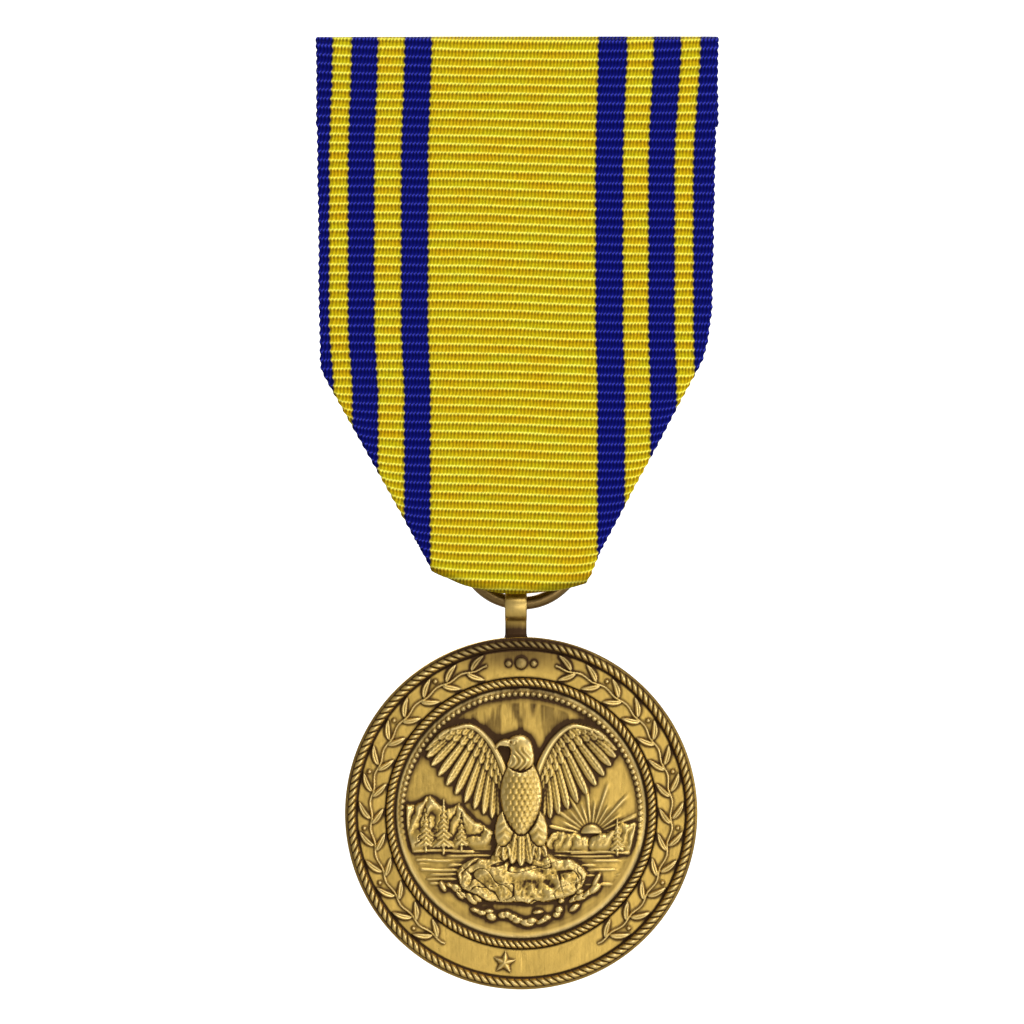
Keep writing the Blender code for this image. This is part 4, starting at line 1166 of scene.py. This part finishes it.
def build_tail():
    """The end of the strip: back through the ring in a trough, up behind it and in to the leaf's back."""
    r = 3.3 - CLOTH / 2
    corner = RING_Z - r
    back = RING_Y + 0.565 + 0.33 + CLOTH / 2
    bend = 0.42
    path = [(LEAF_Y + 0.15, corner), (LEAF_Y + 1.2, corner), (back - bend, corner)]
    for k in range(1, 7):
        t = math.pi / 2 * k / 6
        path.append((back - bend + bend * math.sin(t), corner + bend - bend * math.cos(t)))
    leaf_back = LEAF_Y + CLOTH / 2
    path += [(back, RING_Z), (back, RING_Z + 4.5), (back - 0.06, RING_Z + 6.4), (back - 0.9, RING_Z + 7.9),
             (leaf_back + 0.56, RING_Z + 9.6), (leaf_back + 0.20, RING_Z + 10.6), (leaf_back + 0.18, RING_Z + 12.5)]
    line = curve_points(path, closed=False, steps=14)
    seg = np.hypot(*np.diff(line, axis=0).T)
    dist = np.concatenate([[0], np.cumsum(seg)])
    s = np.arange(0, dist[-1], ROW)
    y = np.interp(s, dist, line[:, 0])
    z = np.interp(s, dist, line[:, 1])
    dy, dz = np.gradient(y), np.gradient(z)
    norm = np.hypot(dy, dz)
    ny, nz = dz / norm, -dy / norm
    up = np.clip(z - corner, 0, None)
    spread = smoothstep(0.0, 6.0, up)
    f = np.linspace(-1, 1, 40)
    half_arc = 2.55 + (4.2 - 2.55) * spread
    curl = 1 - smoothstep(1.5, 9.0, up)
    theta = np.radians(np.linspace(65, -65, 5))
    # Round the section: share of the half width, height over the middle, reach past the edge, face.
    half = CLOTH / 2
    sections = [(j, half, 0.0, 1) for j in f]
    sections += [(1.0, half * math.sin(ang), 0.2 * math.cos(ang), 1) for ang in theta]
    sections += [(j, -half, 0.0, -1) for j in f[::-4]]
    sections += [(-1.0, half * math.sin(ang), -0.2 * math.cos(ang), 1) for ang in theta[::-1]]
    F, D0, OUT, FACE = np.array(sections).T[:, None]
    x = half_arc[:, None] * F
    across = x + OUT
    along = 76.0 + s[:, None] + 0 * x
    D = D0 - FACE * RIB_DEPTH * 0.8 * rib_valley(along)
    lift = curl[:, None] * (r - np.sqrt(np.clip(r ** 2 - np.clip(np.abs(x), 0, 2.9) ** 2, 0.01, None)))
    # In the trough the cloth's face turns with the curve, so its thickness points to the ring's centre.
    trough = (1 - smoothstep(0.0, 0.9, up))[:, None]
    tilt = np.arcsin(np.clip(x / r, -0.95, 0.95)) * trough
    out_x = np.sin(tilt) * (-nz)[:, None]
    out_z = np.cos(tilt)
    px = x + OUT * np.cos(tilt) + D * out_x * np.abs(nz)[:, None]
    pz = z[:, None] + lift + D * nz[:, None] * out_z + OUT * np.sin(tilt)
    py = y[:, None] + ny[:, None] * D
    cloth_piece(np.stack([px, py, pz], -1), across, along)


def close_ends(obj):
    bm = bmesh.new()
    bm.from_mesh(obj.data)
    made = bmesh.ops.holes_fill(bm, edges=[e for e in bm.edges if e.is_boundary], sides=0)["faces"]
    for face in made:
        face.smooth = False
        for edge in face.edges:
            edge.smooth = False
    bmesh.ops.triangulate(bm, faces=made)
    bmesh.ops.recalc_face_normals(bm, faces=bm.faces)
    bm.to_mesh(obj.data)
    bm.free()


along_zero = build_leaf()
build_flap(-1, along_zero, LEAF_Y + CLOTH / 2 + CLOTH)
build_flap(1, along_zero, LEAF_Y + CLOTH / 2 + CLOTH + 0.05)
build_tail()
points, faces, across, along = (np.concatenate([p[k] for p in ribbon_parts]) for k in range(4))
ribbon = add_mesh("ribbon_grosgrain", points, faces)
set_attr(ribbon, "across", across)
set_attr(ribbon, "along", along)
places = np.array([v.co for v in ribbon.data.vertices]) / MM
hem_line = TOP_Z - DROP + sag(places[:, 0] - HANG_X)
# Painted shade on the turn under at the lower edge: full up to a quarter millimetre above the edge and gone by about a
# millimetre.
set_attr(ribbon, "painted_fold_shade", smoothstep(0.95, 0.25, places[:, 2] - hem_line))
close_ends(ribbon)
give(ribbon, ribbon_material(), "brooch", "ribbon")

# ---------------------------------------------------------------- brooch, pin and threads
for node, material in (("brooch_plate", brass), ("pin_hinge_lug", brass), ("pin_hinge_rivet", nickel),
                       ("pin_stem", nickel), ("catch_housing", brass), ("catch_rotor", brass)):
    coat(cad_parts[node], material)
thread = thread_material()
for node in ("tail_seam_thread", "left_fold_thread", "right_fold_thread"):
    coat(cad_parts[node], thread)

# ---------------------------------------------------------------- studio
world = bpy.data.worlds.new("studio")
bpy.context.scene.world = world
world.use_nodes = True
world.node_tree.nodes["Background"].inputs["Color"].default_value = (1.0, 1.0, 1.0, 1)
world.node_tree.nodes["Background"].inputs["Strength"].default_value = 0.45
bpy.context.scene.view_settings.view_transform = "Standard"

bpy.ops.mesh.primitive_plane_add(size=5.0, location=(0, 0.9, -0.30))
floor = bpy.context.object
floor.name = "floor"
paint_floor = Nodes("floor_paper")
paint_floor.link(paint_floor.mix(paint_floor.noise((40, 40, 40)), rgb(0.80, 0.80, 0.79), rgb(0.84, 0.84, 0.83)),
                 paint_floor.shader.inputs["Base Color"])
paint_floor.shader.inputs["Roughness"].default_value = 0.9
floor.data.materials.append(paint_floor.mat)

# A white lit screen far behind, past where any other view's camera stands.
bpy.ops.mesh.primitive_plane_add(size=0.55, location=(0, 1.9, -0.03), rotation=(math.radians(90), 0, 0))
screen = bpy.context.object
screen.name = "white_screen"
paint_screen = Nodes("white_screen")
paint_screen.shader.inputs["Base Color"].default_value = rgb(1, 1, 1)
paint_screen.shader.inputs["Emission Color"].default_value = rgb(1, 1, 1)
paint_screen.shader.inputs["Emission Strength"].default_value = 1.0
screen.data.materials.append(paint_screen.mat)


def area_light(name, place, aim, size, power, size_y=None, colour=(1, 1, 1)):
    light = bpy.data.lights.new(name, "AREA")
    light.energy = power
    light.color = colour
    light.size = size
    if size_y:
        light.shape = "RECTANGLE"
        light.size_y = size_y
    obj = bpy.data.objects.new(name, light)
    obj.location = place
    obj.rotation_euler = (Vector(aim) - Vector(place)).to_track_quat("-Z", "Y").to_euler()
    bpy.context.scene.collection.objects.link(obj)
    return obj


area_light("key_high", (0.13, -0.42, 0.40), (0, 0, -0.035), 0.26, 1.3)
area_light("front_soft", (0.18, -0.62, -0.12), (0, 0, -0.05), 0.34, 0.88)
area_light("side_right", (0.42, -0.22, 0.0), (0, 0, -0.05), 0.2, 0.6)
area_light("back_soft", (-0.15, 0.45, 0.3), (0, 0, -0.03), 0.3, 1.6)

camera_data = bpy.data.cameras.new("camera")
camera = bpy.data.objects.new("camera", camera_data)
bpy.context.scene.collection.objects.link(camera)
VIEW_WIDTH = 0.0890
DISTANCE = 0.85
camera_data.sensor_width = 36
camera_data.lens = 36 * DISTANCE / VIEW_WIDTH
camera_data.clip_start = 0.05
camera_data.clip_end = 5
camera.location = (-0.00080, FRONT_Y * MM - DISTANCE, -0.03631)
camera.rotation_euler = (math.radians(90), 0, 0)
bpy.context.scene.camera = camera
